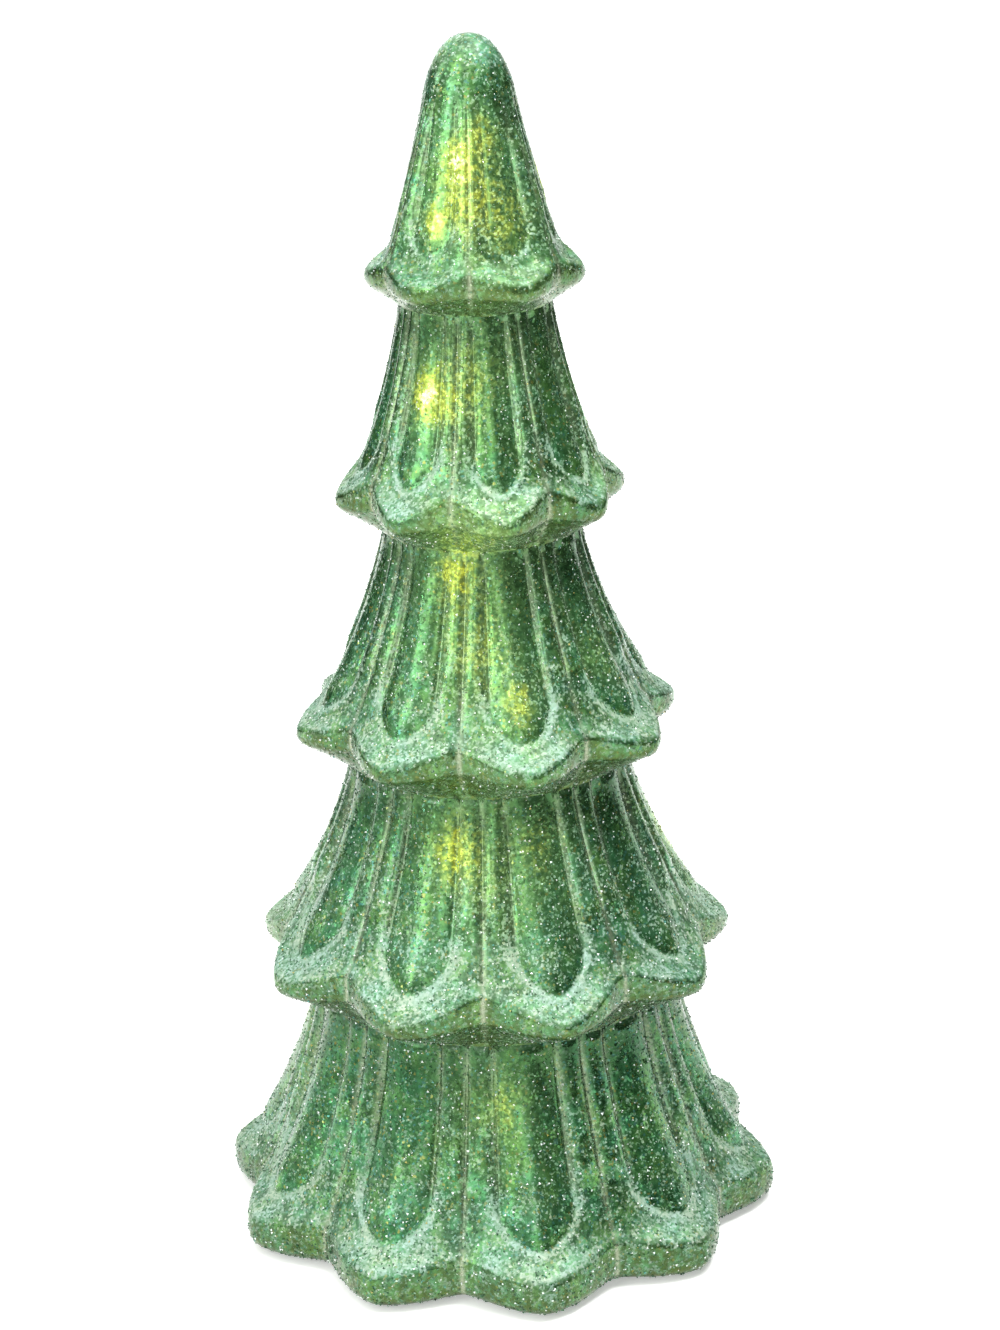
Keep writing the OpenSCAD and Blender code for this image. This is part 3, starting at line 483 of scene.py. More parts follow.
class Shell:
    """Rings of points, with the faces that join each ring to the one before it."""

    def __init__(self):
        self.points, self.marks, self.faces = [], [], []
        self.count = self.outer_count = 0
        self.first = self.last = None

    def ring(self, angle, radius, height, **marks):
        a = np.radians(angle)
        self.points.append(np.stack([radius * np.sin(a), -radius * np.cos(a), height + 0 * a], 1))
        self.marks.append(np.stack([marks.get(name, 0.0) + 0 * a for name in MARKS], 1))
        added = (self.count, angle)
        self.count += len(a)
        if self.last:
            self.join(self.last, added)
        self.first = self.first or added
        self.last = added

    def join(self, upper, lower):
        (i, above), (j, below) = upper, lower
        if len(above) == len(below):
            k = np.arange(len(above))
            n = (k + 1) % len(above)
            self.faces += np.stack([i + k, j + k, j + n, i + n], 1).tolist()
        else:
            self.faces += zipped(i, above, j, below)

    def tip(self, height, ring, outside):
        """Closes a ring with a fan of triangles round a point on the axis."""
        start, angle = ring
        k = np.arange(len(angle))
        n = (k + 1) % len(angle)
        point = np.full(len(angle), self.count)
        rows = [point, start + k, start + n] if outside else [start + n, start + k, point]
        self.faces += np.stack(rows, 1).tolist()
        self.points.append(np.array([[0.0, 0.0, height]]))
        self.marks.append(np.zeros((1, len(MARKS))))
        self.count += 1


def zipped(i, above, j, below):
    """Triangles between two rings whose points lie at different angles."""
    turn = int(np.argmin((below - above[0]) % 360))
    lower = (np.arange(len(below)) + turn) % len(below)
    low_at = above[0] + (below[lower] - above[0]) % 360
    low_next = np.append(low_at[1:], low_at[0] + 360)
    top_next = np.append(above[1:], above[0] + 360)
    faces = []
    p = q = 0
    while p < len(above) or q < len(below):
        a, b = i + p % len(above), j + int(lower[q % len(below)])
        if q == len(below) or (p < len(above) and top_next[p] <= low_next[q]):
            faces.append([a, b, i + (p + 1) % len(above)])
            p += 1
        else:
            faces.append([a, b, j + int(lower[(q + 1) % len(below)])])
            q += 1
    return faces


print("marks on each point:", MARKS)

# %% [markdown]
# ## Skirts and rims
#
# The skirt rows are closer together near the lower end, where the panels round off. The relief pushes the glass out
# along the skirt's own normal. The rim is an arc that rolls under, and the underside runs in to the next neck. Each
# ring also carries its marks: besides those of the relief, how far it lies under a rim and how near a neck, which the
# finish uses for painted shade, and the frost that settles on a lip.

# %% Skirts and rims
SKIRT_STEPS = np.concatenate([np.linspace(0, 0.6, 11)[:-1], np.linspace(0.6, 1, 22)])
RIM_UNDER, RIM_ROWS, UNDER_ROWS = -57.0, 12, 4
UNDER_FROM, UNDER_FULL = -0.95, 0.6
LIP_FROST, NECK_SHADE = 0.3, 0.5


def skirt_rows(shell, tier):
    place, angle = lobe_grid(tier)
    steps = SKIRT_STEPS[None, :]
    across = place[:, None]
    radius, height = skirt_curve(tier, across, steps)
    down_r, down_z = np.gradient(radius, axis=1), np.gradient(height, axis=1)
    length = np.hypot(down_r, down_z)
    to_end = np.cumsum(length[:, ::-1], axis=1)[:, ::-1] - length / 2 - length[:, -1:] / 2
    swell, crease, panel, frost = relief(tier, across, steps, radius, np.maximum(to_end, 0))
    radius = radius - swell * down_z / length
    height = height + swell * down_r / length
    # The neck mark, 1 at a neck and 0 halfway down, drives a painted shade under each rim; the top tier has none
    neck = 0.0 * SKIRT_STEPS if tier is TIERS[0] else 1 - smooth(SKIRT_STEPS, 0.0, NECK_SHADE)
    for k, shade in enumerate(neck):
        marks = {"crease": crease[:, k], "panel": panel[:, k], "frost": frost[:, k], "neck": shade}
        shell.ring(angle, radius[:, k], height[:, k], **marks)


def valley_line(tier, place):
    """1 in the crease between two lobes, falling to 0 beside it."""
    return line_of((1 - np.abs(place)) * tier.crease_r * math.pi / tier.lobes, GROOVE_WIDTH)


def rim_rows(shell, tier, under_angle):
    place, angle = lobe_grid(tier)
    valley = valley_line(tier, place)
    start = math.pi / 2 - rim_slope(tier, place)
    centre_r, upper_z = rim_centre(tier, place, True)
    lower_z = rim_centre(tier, place, False)[1]
    for share in np.linspace(0, 1, RIM_ROWS)[1:]:
        bend = start + (math.radians(under_angle) - start) * share
        radius = centre_r + tier.rim_r * np.cos(bend) - VALLEY_GROOVE * valley
        height = np.where(bend > 0, upper_z, lower_z) + tier.rim_r * np.sin(bend)
        # The under mark grows as the rim rolls under; the finish paints a darker, olive shade there
        under = smooth(-bend, UNDER_FROM, UNDER_FULL)
        frost = LIP_FROST * tier.band**2 * (1 - under)
        shell.ring(angle, radius, height, crease=valley, under=under, frost=frost)


def rim_end(tier, place, reach):
    """Where a rolled rim, of this reach from its centre, stops under the skirt."""
    centre_r, centre_z = rim_centre(tier, place, False)
    turn = math.radians(RIM_UNDER)
    return centre_r + reach * math.cos(turn), centre_z + reach * math.sin(turn)


def under_rows(shell, tier, end_r, end_z):
    """Rows from a rolled rim in to a round neck."""
    place, angle = lobe_grid(tier)
    start_r, start_z = rim_end(tier, place, tier.rim_r)
    valley = valley_line(tier, place)
    for share in np.linspace(0, 1, UNDER_ROWS + 1)[1:]:
        radius = start_r + (end_r - start_r) * share
        height = start_z + (end_z - start_z) * share
        shell.ring(angle, radius, height, crease=valley * (1 - share), under=1.0)


print("rows down a skirt:", len(SKIRT_STEPS), "and round a rim:", RIM_ROWS)

# %% [markdown]
# ## The whole shell
#
# Now the stack itself: the bullet-shaped tip, the five skirts with their rims, and the seat at the foot that rests on
# the base. The inside follows with a few plain rows, one wall's thickness in, so the shell is a closed solid of glass.

# %% Whole shell
TIP_START, TIP_ROUND, TIP_HOLD, TIP_ROWS = 0.12, 5.6, 6.5, 16
TIP_FROST = 0.3
HEM_UNDER, NECK_CLEAR = -90.0, 0.1
SEAT_R, SEAT_Z, OPENING_R = 53.0, 6.0, 46.0
INNER_STEPS, INNER_DOME = np.linspace(1, 0, 5), (30, 60)


def inner_rows(shell, tier):
    place, angle = lobe_grid(tier)
    shell.ring(angle, *rim_end(tier, place, tier.rim_r - WALL))
    for step in INNER_STEPS:
        shell.ring(angle, *skirt_curve(tier, place, step, WALL))


def tip_curve(tier, step):
    """Bullet-shaped tip that runs on into the first skirt."""
    lean = math.atan2(tier.crease_r - tier.neck_r, tier.neck_z - tier.rim_z)
    hold_r = tier.neck_r - TIP_HOLD * math.sin(lean)
    hold_z = tier.neck_z + TIP_HOLD * math.cos(lean)
    return cubic(step, 0.0, TIP_ROUND, hold_r, tier.neck_r), cubic(step, TREE_TOP, TREE_TOP, hold_z, tier.neck_z)


def build_shell():
    shell = Shell()
    top, hem = TIERS[0], TIERS[-1]
    top_angle, hem_angle = lobe_grid(top)[1], lobe_grid(hem)[1]
    for step in np.linspace(TIP_START, 1, TIP_ROWS)[:-1]:
        shell.ring(top_angle, *tip_curve(top, step), frost=TIP_FROST * (1 - step))
    for tier, below in zip(TIERS, TIERS[1:]):
        skirt_rows(shell, tier)
        rim_rows(shell, tier, RIM_UNDER)
        under_rows(shell, tier, below.neck_r + NECK_CLEAR, below.neck_z + NECK_CLEAR)
    skirt_rows(shell, hem)
    rim_rows(shell, hem, HEM_UNDER)
    seat_top = SEAT_Z + WALL
    for radius, height in ((SEAT_R, SEAT_Z), (OPENING_R, SEAT_Z), (OPENING_R, seat_top), (SEAT_R, seat_top)):
        shell.ring(hem_angle, radius, height, under=1.0)
    shell.outer_count = shell.count
    for tier in TIERS[::-1]:
        inner_rows(shell, tier)
    dome_z = top.neck_z + INNER_LIFT * WALL
    for bend in np.radians(INNER_DOME):
        height = dome_z + (TREE_TOP - WALL - dome_z) * math.sin(bend)
        shell.ring(top_angle, (top.neck_r - WALL) * math.cos(bend), height)
    shell.tip(TREE_TOP - WALL, shell.last, False)
    shell.tip(TREE_TOP, shell.first, True)
    return shell


shell = build_shell()
shell_points = np.concatenate(shell.points)
shell_marks = np.concatenate(shell.marks)
print("shell points:", len(shell_points), "faces:", len(shell.faces))

# %% [markdown]
# ## Where the lamps glow
#
# The lacquer hides the string, but each lamp near the glass lights a soft patch of it. That light is painted onto the
# shell: the patches are kept as a vertex attribute, which the finish turns into an emission and a tint of the colour.
# Each is a bell curve round the lamp's place on the skirt, a little taller than wide because the flutes stretch the
# light along them, with a weak halo. A lamp close to the glass gets a hot core, a lamp further in only a faint glow.

# %% Lamp glow
# Turn from the front in degrees, height in mm, radius of the patch in mm, and strength
GLOWS = [
    (-13, 277, 2.8, 1.0), (-30, 263, 2.2, 0.8), (12, 284, 3.5, 0.3), (-8, 268, 4.5, 0.3), (14, 264, 9.0, 0.24),
    (40, 262, 6.0, 0.14), (-4, 226, 9.0, 0.26), (-5, 162, 9.0, 0.3), (-3, 106, 10.0, 0.16), (19, 106, 8.0, 0.08),
    (-3, 42, 10.0, 0.1), (4, 191, 6.0, 0.2), (-16, 191, 6.0, 0.15), (-33, 222, 3.2, 0.95), (-19, 221, 2.8, 0.3),
    (66, 199, 4.0, 0.2), (-15, 179, 4.0, 0.5), (12, 150, 3.4, 0.5), (53, 157, 5.0, 0.2), (-14, 112, 5.0, 0.5),
    (17, 113, 4.5, 0.18), (2, 48, 5.5, 0.25), (100, 100, 7.0, 0.5), (150, 140, 6.0, 0.6), (200, 180, 5.0, 0.8),
    (165, 225, 4.5, 0.9), (120, 268, 4.0, 0.9), (230, 110, 7.0, 0.5), (260, 60, 8.0, 0.5), (140, 45, 8.0, 0.5),
    (95, 215, 4.5, 0.5), (215, 262, 4.0, 0.9),
]
GLOW_STRETCH = 1.35
HALO_SHARE, HALO_SPREAD = 0.18, 7


def glow_at(points):
    x, y, z = points.T
    radius = np.hypot(x, y)
    angle = np.degrees(np.arctan2(x, -y))
    total = np.zeros(len(points))
    for turn, height, reach, strength in GLOWS:
        across = np.radians((angle - turn + 180) % 360 - 180) * radius
        along = (z - height) / GLOW_STRETCH
        far = (across**2 + along**2) / reach**2
        total += strength * ((1 - HALO_SHARE) * np.exp(-far) + HALO_SHARE * np.exp(-far / HALO_SPREAD))
    return total


glow = glow_at(shell_points)
print("strongest glow", round(float(glow.max()), 2))

# %% [markdown]
# ## The lacquer
#
# Seen close, the green is a crowd of fine grains, dark and bright, with a few of blue-green and gold among them. A
# Voronoi texture gives each grain a random colour, and its three channels serve as three dice. Broader noise gathers
# the grains into clumps. Read at heights squashed to an eighth, it also draws streaks down the skirt. What several
# steps need, such as the dice and the marks of the mesh, is kept on the finish.

# %% Lacquer
GRAIN_SCALE = 1700.0
STREAK_SQUASH = (1.0, 1.0, 0.12)


class GlitterGlass(Finish):
    """Green lacquer over silvered glass, packed with fine glitter that faces every way."""

    def __init__(self):
        super().__init__("glitter_glass", Sheen_Roughness=0.3, Sheen_Tint=rgb(0.85, 0.98, 0.88))
        self.grain = self.cells(GRAIN_SCALE)
        self.red, self.green, self.blue = self.split(self.grain)[:3]
        self.clump = self.patches(620.0, 2.0, 0.36, 0.64)
        self.hue = self.patches(150.0, 2.0, 0.35, 0.65)
        self.up = self.split(self.normal())[2]
        self.crease, self.under, self.panel, self.band, self.neck = [self.attribute(name) for name in MARKS]


def lacquer(glass):
    """The green, grain by grain, duller in the panels and darkened towards the necks by a painted shade."""
    along = glass.vector("MULTIPLY", glass.place(), STREAK_SQUASH)
    streak = glass.patches(330.0, 2.0, 0.32, 0.68, along)
    tone = glass.blend(0.47, glass.blend(0.45, glass.red, glass.clump), streak)
    # Painted shade: the tone is halved towards the necks, under the rim above
    tone = glass.times(glass.math("POWER", tone, 1.8), glass.blend(glass.neck, 1.0, 0.5))
    deep = glass.mix(glass.noise(55.0, 3.0), rgb(0.007, 0.040, 0.010), rgb(0.014, 0.072, 0.018))
    bright = glass.mix(glass.hue, rgb(0.150, 0.400, 0.065), rgb(0.075, 0.400, 0.155))
    colour = glass.mix(tone, deep, bright)
    colour = glass.mix(glass.times(glass.panel, 0.24), colour, rgb(0.025, 0.14, 0.040))
    colour = glass.mix(glass.step(glass.blue, 0.90, 0.92), colour, rgb(0.05, 0.20, 0.15))
    return glass.mix(glass.step(glass.blue, 0.96, 0.97), colour, rgb(0.20, 0.23, 0.05))


print("grains:", round(1000 / GRAIN_SCALE, 2), "mm")

# %% [markdown]
# ## Frost
#
# White glitter lies like snow where it could settle: on the upward shelves, in the bands round the panel ends, and
# thinly in clumps everywhere else. On the shelves it grows the more a face looks up, so it is partly real glitter
# and partly painted light from above. A cover from 0 to 1 says how thick it lies, and each grain compares its own
# dice with the cover, so that a thicker cover mostly means more white grains, over a green that turns only a little
# milkier. The shelves near the top have less.

# %% Frost
def frost_cover(glass):
    high = glass.step(glass.axes()[2], 0.19, 0.26)
    # Frost on faces that look up: partly settled glitter, partly painted light from above; none under the rims
    shelf = glass.times(glass.step(glass.up, 0.25, 0.8), 0.41, glass.without(glass.under), glass.blend(high, 1.0, 0.3))
    settled_and_top_lit = glass.math("ADD", shelf, glass.times(glass.band, 0.62))
    drift = glass.blend(glass.patches(110.0, 3.0, 0.3, 0.7), 0.45, 1.35)
    # Thin frost is sparser on the panels, and it fades out towards the necks along with their painted shade
    thin = glass.times(glass.clump, glass.blend(glass.panel, 0.24, 0.13), glass.without(glass.neck))
    return glass.math("ADD", glass.times(settled_and_top_lit, drift), thin, True)


def frosted(glass, colour):
    """The colour under its frost, and how frosted each grain is."""
    cover = frost_cover(glass)
    bare = glass.without(cover)
    colour = glass.mix(glass.times(cover, 0.6), colour, rgb(0.075, 0.25, 0.095))
    dice = glass.blend(0.25, glass.green, glass.patches(1300.0, 1.0, 0.3, 0.7))
    frost = glass.step(dice, glass.math("SUBTRACT", bare, 0.3), glass.math("ADD", bare, 0.3))
    frost = glass.math("MAXIMUM", frost, glass.times(cover, 0.35))
    snow = glass.mix(glass.hue, rgb(0.54, 0.63, 0.50), rgb(0.45, 0.62, 0.56))
    pale = glass.mix(glass.red, rgb(0.20, 0.36, 0.23), snow)
    return glass.mix(glass.times(frost, 0.85), colour, pale), frost


print("frost ready")

# %% [markdown]
# ## Shade, gloss and light on the glass
#
# The necks and undersides catch less glitter and get a painted shade: the necks turn darker, the undersides darker
# and olive. The creases are rubbed pale. Bare lacquer over silvering shines like metal. Frost and upward faces are
# matt, and frost has a soft sheen. Each grain then leans its own way, most of them a little and some of them far,
# which breaks a highlight into sparkles. Last comes the painted light of the lamps, an emission with a tint of the
# colour: green where it is weak, yellow where it is strong, and nearly white in a hot core.

# %% Shade, gloss and light
def shaded(glass, colour, glow):
    # Painted shade: the colour darkens towards each neck, under the rim above it
    colour = glass.mix(glass.times(glass.neck, 0.45), colour, rgb(0.012, 0.050, 0.016))
    # Painted shade under the rims: the undersides turn darker and olive
    under = glass.times(glass.under, glass.blend(glass.clump, 0.85, 0.5))
    colour = glass.mix(under, colour, rgb(0.066, 0.096, 0.017))
    crease = glass.times(glass.crease, glass.blend(glass.green, 0.45, 0.95))
    colour = glass.mix(crease, colour, rgb(0.37, 0.41, 0.29))
    # Painted light: near a lamp the colour itself turns yellow-green, as if lit through the glass
    return glass.mix(glass.math("MULTIPLY", glow, 0.9, True), colour, rgb(0.20, 0.32, 0.05))


def set_gloss(glass, frost):
    dull = glass.times(glass.step(glass.up, 0.25, 0.7), glass.blend(glass.panel, 0.8, 0.35))
    matt = glass.math("MAXIMUM", frost, dull)
    glass.wire("Metallic", glass.blend(matt, 0.7, 0.1))
    glass.wire("Roughness", glass.blend(matt, 0.16, 0.6))
    glass.wire("Sheen Weight", glass.blend(glass.times(frost, glass.without(glass.neck)), 0.1, 1.0))


def tip_grains(glass):
    lean = glass.vector("SUBTRACT", glass.grain, (0.5, 0.5, 0.5))
    loose = glass.step(glass.math("FRACT", glass.times(glass.red, 7.0)), 0.7, 0.9)
    lean = glass.vector("MULTIPLY", lean, glass.blend(loose, 0.04, 0.4))
    glass.wire("Normal", glass.vector("NORMALIZE", glass.vector("ADD", glass.normal(), lean)))


def light_up(glass, glow):
    # The shell is no lamp: this emission is the lamps' light painted onto it
    warm = glass.mix(glass.step(glow, 0.15, 0.55), rgb(0.28, 0.58, 0.22), rgb(0.72, 0.78, 0.07))
    glass.wire("Emission Color", glass.mix(glass.step(glow, 0.7, 1.2), warm, rgb(1.0, 0.98, 0.62)))
    glass.wire("Emission Strength", glass.times(glow, glass.blend(glass.step(glass.green, 0.3, 0.95), 0.5, 1.35)))


def glitter_glass():
    glass = GlitterGlass()
    # The painted lamp light, made patchy by the grain clumps
    painted_glow = glass.times(glass.attribute("glow"), glass.blend(glass.clump, 0.65, 1.35))
    colour, frost = frosted(glass, lacquer(glass))
    glass.wire("Base Color", shaded(glass, colour, painted_glow))
    set_gloss(glass, frost)
    tip_grains(glass)
    light_up(glass, painted_glow)
    return glass


glass_finish = glitter_glass()
print("glass finish nodes:", len(glass_finish.tree.nodes))

# %% [markdown]
# ## The shell as an object
#
# The arrays go into a mesh in one call. The marks become float attributes that the finish reads by name. The mesh
# stands for the solid shell, so the solid is hidden and stays only for contact.

# %% Glass object
def mesh_piece(name, points, faces, finish, body, smooth_shading=True):
    mesh = bpy.data.meshes.new(name)
    mesh.from_pydata((np.asarray(points) * MM).tolist(), [], faces)
    mesh.polygons.foreach_set("use_smooth", [smooth_shading] * len(mesh.polygons))
    mesh.materials.append(finish.material)
    piece = bpy.data.objects.new(name, mesh)
    bpy.context.scene.collection.objects.link(piece)
    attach(piece, body)
    return piece


def mark(piece, name, values):
    layer = piece.data.attributes.new(name, "FLOAT", "POINT")
    layer.data.foreach_set("value", np.asarray(values, np.float32))


glass_tree = mesh_piece("glass_shell", shell_points, shell.faces, glass_finish, "tree")
for name, values in zip(MARKS, shell_marks.T):
    mark(glass_tree, name, values)
mark(glass_tree, "glow", glow)
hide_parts("glass_tree")
print("glass shell size:", tuple(round(v, 4) for v in glass_tree.dimensions))

# %% [markdown]
# ## Where the flakes lie
#
# The finest grains are in the finish, but nothing painted stands out of a surface, so the larger flakes are real
# pieces. They are scattered by area over the outside of the shell: a triangle is picked with a chance equal to its
# share of the whole, then a random place in it. A seeded generator puts them in the same places on every run.

# %% Scatter the flakes
FLAKE_COUNT = 48000
random = np.random.default_rng(24)


def outer_triangles():
    outer = [face for face in shell.faces if max(face) < shell.outer_count]
    return shell_points[[f[:3] for f in outer] + [[f[0], f[2], f[3]] for f in outer if len(f) == 4]]


def scatter_flakes():
    """Places and normals of the flakes, spread evenly by area."""
    triangles = outer_triangles()
    cross = np.cross(triangles[:, 1] - triangles[:, 0], triangles[:, 2] - triangles[:, 0])
    area = np.linalg.norm(cross, axis=1)
    pick = random.choice(len(area), FLAKE_COUNT, p=area / area.sum())
    a, b = random.random((2, FLAKE_COUNT, 1))
    a, b = np.where(a + b > 1, 1 - a, a), np.where(a + b > 1, 1 - b, b)
    corner = triangles[pick]
    place = corner[:, 0] + a * (corner[:, 1] - corner[:, 0]) + b * (corner[:, 2] - corner[:, 0])
    return place, cross[pick] / area[pick, None]


flake_place, flake_normal = scatter_flakes()
print("flakes:", len(flake_place))

# %% [markdown]
# ## Glitter flakes
#
# Each flake is a shallow three-sided chip, let into the surface by its point, with its flat face tipped a random way.
# Flakes are larger towards the hem. A random tint picks the colour of each from a ramp of flat steps: mostly greens,
# some white, a few blue-green or gold.

# %% Glitter flakes
FLAKE_REACH, FLAKE_GROWTH = (0.12, 0.27), 0.7
FLAKE_TIP, FLAKE_LIFT, FLAKE_DEPTH = 0.55, 0.3, 0.9
FLAKE_FACES = ([0, 1, 2], [0, 3, 1], [1, 3, 2], [2, 3, 0])
FLAKE_TINTS = [
    (0.0, rgb(0.015, 0.08, 0.03)), (0.35, rgb(0.06, 0.20, 0.09)), (0.62, rgb(0.17, 0.33, 0.20)),
    (0.80, rgb(0.92, 0.98, 0.95)), (0.955, rgb(0.12, 0.38, 0.33)), (0.98, rgb(0.42, 0.38, 0.10)),
]


def unit(vectors):
    return vectors / np.linalg.norm(vectors, axis=-1, keepdims=True)


def flake_mesh(place, normal):
    tipped = unit(normal + FLAKE_TIP * random.normal(size=normal.shape))
    side = unit(np.cross(tipped, random.normal(size=normal.shape)))
    other = np.cross(tipped, side)
    reach = random.uniform(*FLAKE_REACH, size=(len(place), 1)) * (1 + FLAKE_GROWTH * (1 - place[:, 2:] / TREE_TOP))
    centre = place + FLAKE_LIFT * reach * normal
    points = [centre + reach * (math.cos(t) * side + math.sin(t) * other) for t in np.radians([0, 120, 240])]
    points.append(centre - FLAKE_DEPTH * reach * tipped)
    start = len(points) * np.arange(len(place))[:, None]
    faces = np.concatenate([start + np.array(face) for face in FLAKE_FACES])
    return np.stack(points, 1).reshape(-1, 3), faces.tolist()


def flake_finish():
    flake = Finish("glitter_flake", Metallic=0.1, Roughness=0.3, Emission_Color=rgb(1.0, 0.86, 0.12))
    node = flake.add("ValToRGB", {"Fac": flake.attribute("tint")})
    node.color_ramp.interpolation = "CONSTANT"
    stops = node.color_ramp.elements
    while len(stops) < len(FLAKE_TINTS):
        stops.new(1.0)
    for stop, (spot, colour) in zip(stops, FLAKE_TINTS):
        stop.position, stop.color = spot, colour
    flake.wire("Base Color", node.outputs["Color"])
    # Painted lamp light: flakes near a lamp glow, though they are no lamp
    flake.wire("Emission Strength", flake.times(flake.attribute("glow"), 0.9))
    return flake


flake_points, flake_faces = flake_mesh(flake_place, flake_normal)
flakes = mesh_piece("glitter_flakes", flake_points, flake_faces, flake_finish(), "tree", False)
mark(flakes, "tint", np.repeat(random.random(FLAKE_COUNT), 4))
# The shell's painted lamp light, on each flake, stronger on some flakes at random
mark(flakes, "glow", np.repeat(glow_at(flake_place) * random.random(FLAKE_COUNT) ** 2, 4))
print("flake faces:", len(flake_faces))

# %% [markdown]
# ## Moulded plastics and rubber
#
# The base, its door and the cover inside are injection moulded. Such plastic has a fine grain from the eroded steel
# of the mould, a slight cloudiness in its colour, and edges rubbed paler by handling. The Bevel node finds those
# edges: where its softened normal leaves the true one, there is an edge. It also rounds the sharp solid edges for
# the light, without touching the solid's mesh.

# %% Plastics and rubber
# Colour, cloudy colour, colour of a rubbed edge, roughness, scale of the grain and its depth in metres
MOULDINGS = {
    "base_plastic": (rgb(0.014, 0.060, 0.028), rgb(0.022, 0.085, 0.042), rgb(0.11, 0.19, 0.13), 0.46, 2600.0, 5e-5),
    "cover_plastic": (rgb(0.66, 0.67, 0.63), rgb(0.74, 0.75, 0.70), rgb(0.82, 0.82, 0.80), 0.42, 3400.0, 2e-5),
    "slider_plastic": (rgb(0.58, 0.59, 0.56), rgb(0.66, 0.66, 0.62), rgb(0.40, 0.39, 0.36), 0.38, 3000.0, 2e-5),
    "foot_rubber": (rgb(0.018, 0.018, 0.018), rgb(0.030, 0.029, 0.027), rgb(0.10, 0.095, 0.09), 0.78, 1900.0, 6e-5),
    "silicone": (rgb(0.56, 0.60, 0.57), rgb(0.64, 0.67, 0.64), rgb(0.72, 0.74, 0.72), 0.55, 1500.0, 2e-5),
    "chip_resin": (rgb(0.012, 0.012, 0.013), rgb(0.020, 0.020, 0.021), rgb(0.06, 0.06, 0.06), 0.62, 6000.0, 2e-5),
}
MOULDING_ROUND, PLATING_ROUND = 0.0004, 0.0002


def edge_finder(finish, reach):
    """The softened normal, and how near an edge a point lies, 0 to 1."""
    soft = finish.add("Bevel", {"Radius": reach}, samples=6).outputs["Normal"]
    return soft, finish.step(finish.vector("DOT_PRODUCT", soft, finish.normal()), 0.995, 0.85)


def moulded(name, colour, cloudy, rubbed, roughness, grain_scale, grain_depth):
    plastic = Finish(name)
    soft, edge = edge_finder(plastic, MOULDING_ROUND)
    tone = plastic.mix(plastic.noise(70.0, 4.0), colour, cloudy)
    scuff = plastic.times(edge, plastic.patches(320.0, 4.0, 0.35, 0.65), 0.7)
    plastic.wire("Base Color", plastic.mix(scuff, tone, rubbed))
    plastic.wire("Roughness", plastic.blend(plastic.noise(140.0, 4.0), roughness - 0.08, roughness + 0.1))
    plastic.wire("Normal", plastic.bump(plastic.noise(grain_scale, 3.0), grain_depth, soft))
    return plastic


def dress(finish, *names):
    for name in names:
        nodes[name].data.materials.clear()
        nodes[name].data.materials.append(finish.material)


mouldings = {name: moulded(name, *look) for name, look in MOULDINGS.items()}
base_plastic = mouldings["base_plastic"]
mouldings["silicone"].wire("Subsurface Weight", 0.4)
mouldings["silicone"].wire("Subsurface Scale", 0.001)
dress(base_plastic, "base_plate", "battery_door")
dress(mouldings["cover_plastic"], "inner_cover", "mast_cap")
dress(mouldings["slider_plastic"], "switch_slider")
dress(mouldings["foot_rubber"], "rubber_feet")
dress(mouldings["silicone"], "seal_ring")
dress(mouldings["chip_resin"], "timer_chip")
print("mouldings:", list(mouldings))

# %% [markdown]
# ## Metals
#
# The screws are zinc plated, the contacts and the switch case nickel plated. Both are plain metals, so the finish
# is in the roughness: fine scratches, drawn out along one direction by stretching the noise, with cloudier patches
# where fingers and flux have been. Zinc has a cold cast and a little yellow passivation, nickel is warm.

# %% Plated metals
def plated(name, colour, cast, roughness, stretch):
    metal = Finish(name, Metallic=1.0)
    soft = edge_finder(metal, PLATING_ROUND)[0]
    scratch = metal.noise(900.0, 5.0, metal.vector("MULTIPLY", metal.place(), stretch))
    cloud = metal.noise(220.0, 3.0)
    metal.wire("Base Color", metal.mix(metal.step(cloud, 0.35, 0.7), colour, cast))
    rough = metal.math("ADD", metal.times(scratch, 0.22), roughness - 0.1)
    metal.wire("Roughness", metal.math("ADD", rough, metal.times(cloud, 0.1)))
    metal.wire("Normal", metal.bump(scratch, 1e-5, soft))
    return metal


zinc = plated("screw_steel", rgb(0.52, 0.54, 0.57), rgb(0.58, 0.56, 0.46), 0.30, (1.0, 1.0, 4.0))
nickel = plated("contact_nickel", rgb(0.64, 0.61, 0.55), rgb(0.56, 0.52, 0.46), 0.24, (1.0, 6.0, 1.0))
dress(zinc, "cover_screws", "switch_screws", "board_screws", "hinge_pin")
dress(nickel, "contact_plates", "switch_body", "crystal_can")
print("metals:", zinc.material.name, nickel.material.name)

# %% [markdown]
# ## Dry cells
#
# Each cell is a steel can in a shrunk foil sleeve: a dark body, one pale band and a hairline near the button, and
# bare metal at the two ends. The bands follow the cell's own length, so the finish measures along X from the cell's
# button end, in millimetres. The middle cell faces the other way, which only changes the sign.

# %% Cells
# Row of each cell across the base, and the side on which its button lies
CELL_ROWS = ((-1, 1), (0, -1), (1, 1))
CELL_PITCH, CELL_MIDDLE_Z, BUTTON_X = 15.4, 12.05, 27.75
SLEEVE, PALE_BAND, HAIRLINE = (1.9, 49.9), (9.0, 14.5), (15.1, 15.5)
SHOULDER_R = (5.5, 6.0)


def from_mm(finish, axis, start, sign=1):
    """Distance along an axis in millimetres, counted from a start in millimetres."""
    return finish.times(finish.math("SUBTRACT", axis, start * MM), sign / MM)


def between(finish, value, low, high, blur=0.06):
    return finish.times(finish.step(value, low - blur, low + blur), finish.step(value, high + blur, high - blur))


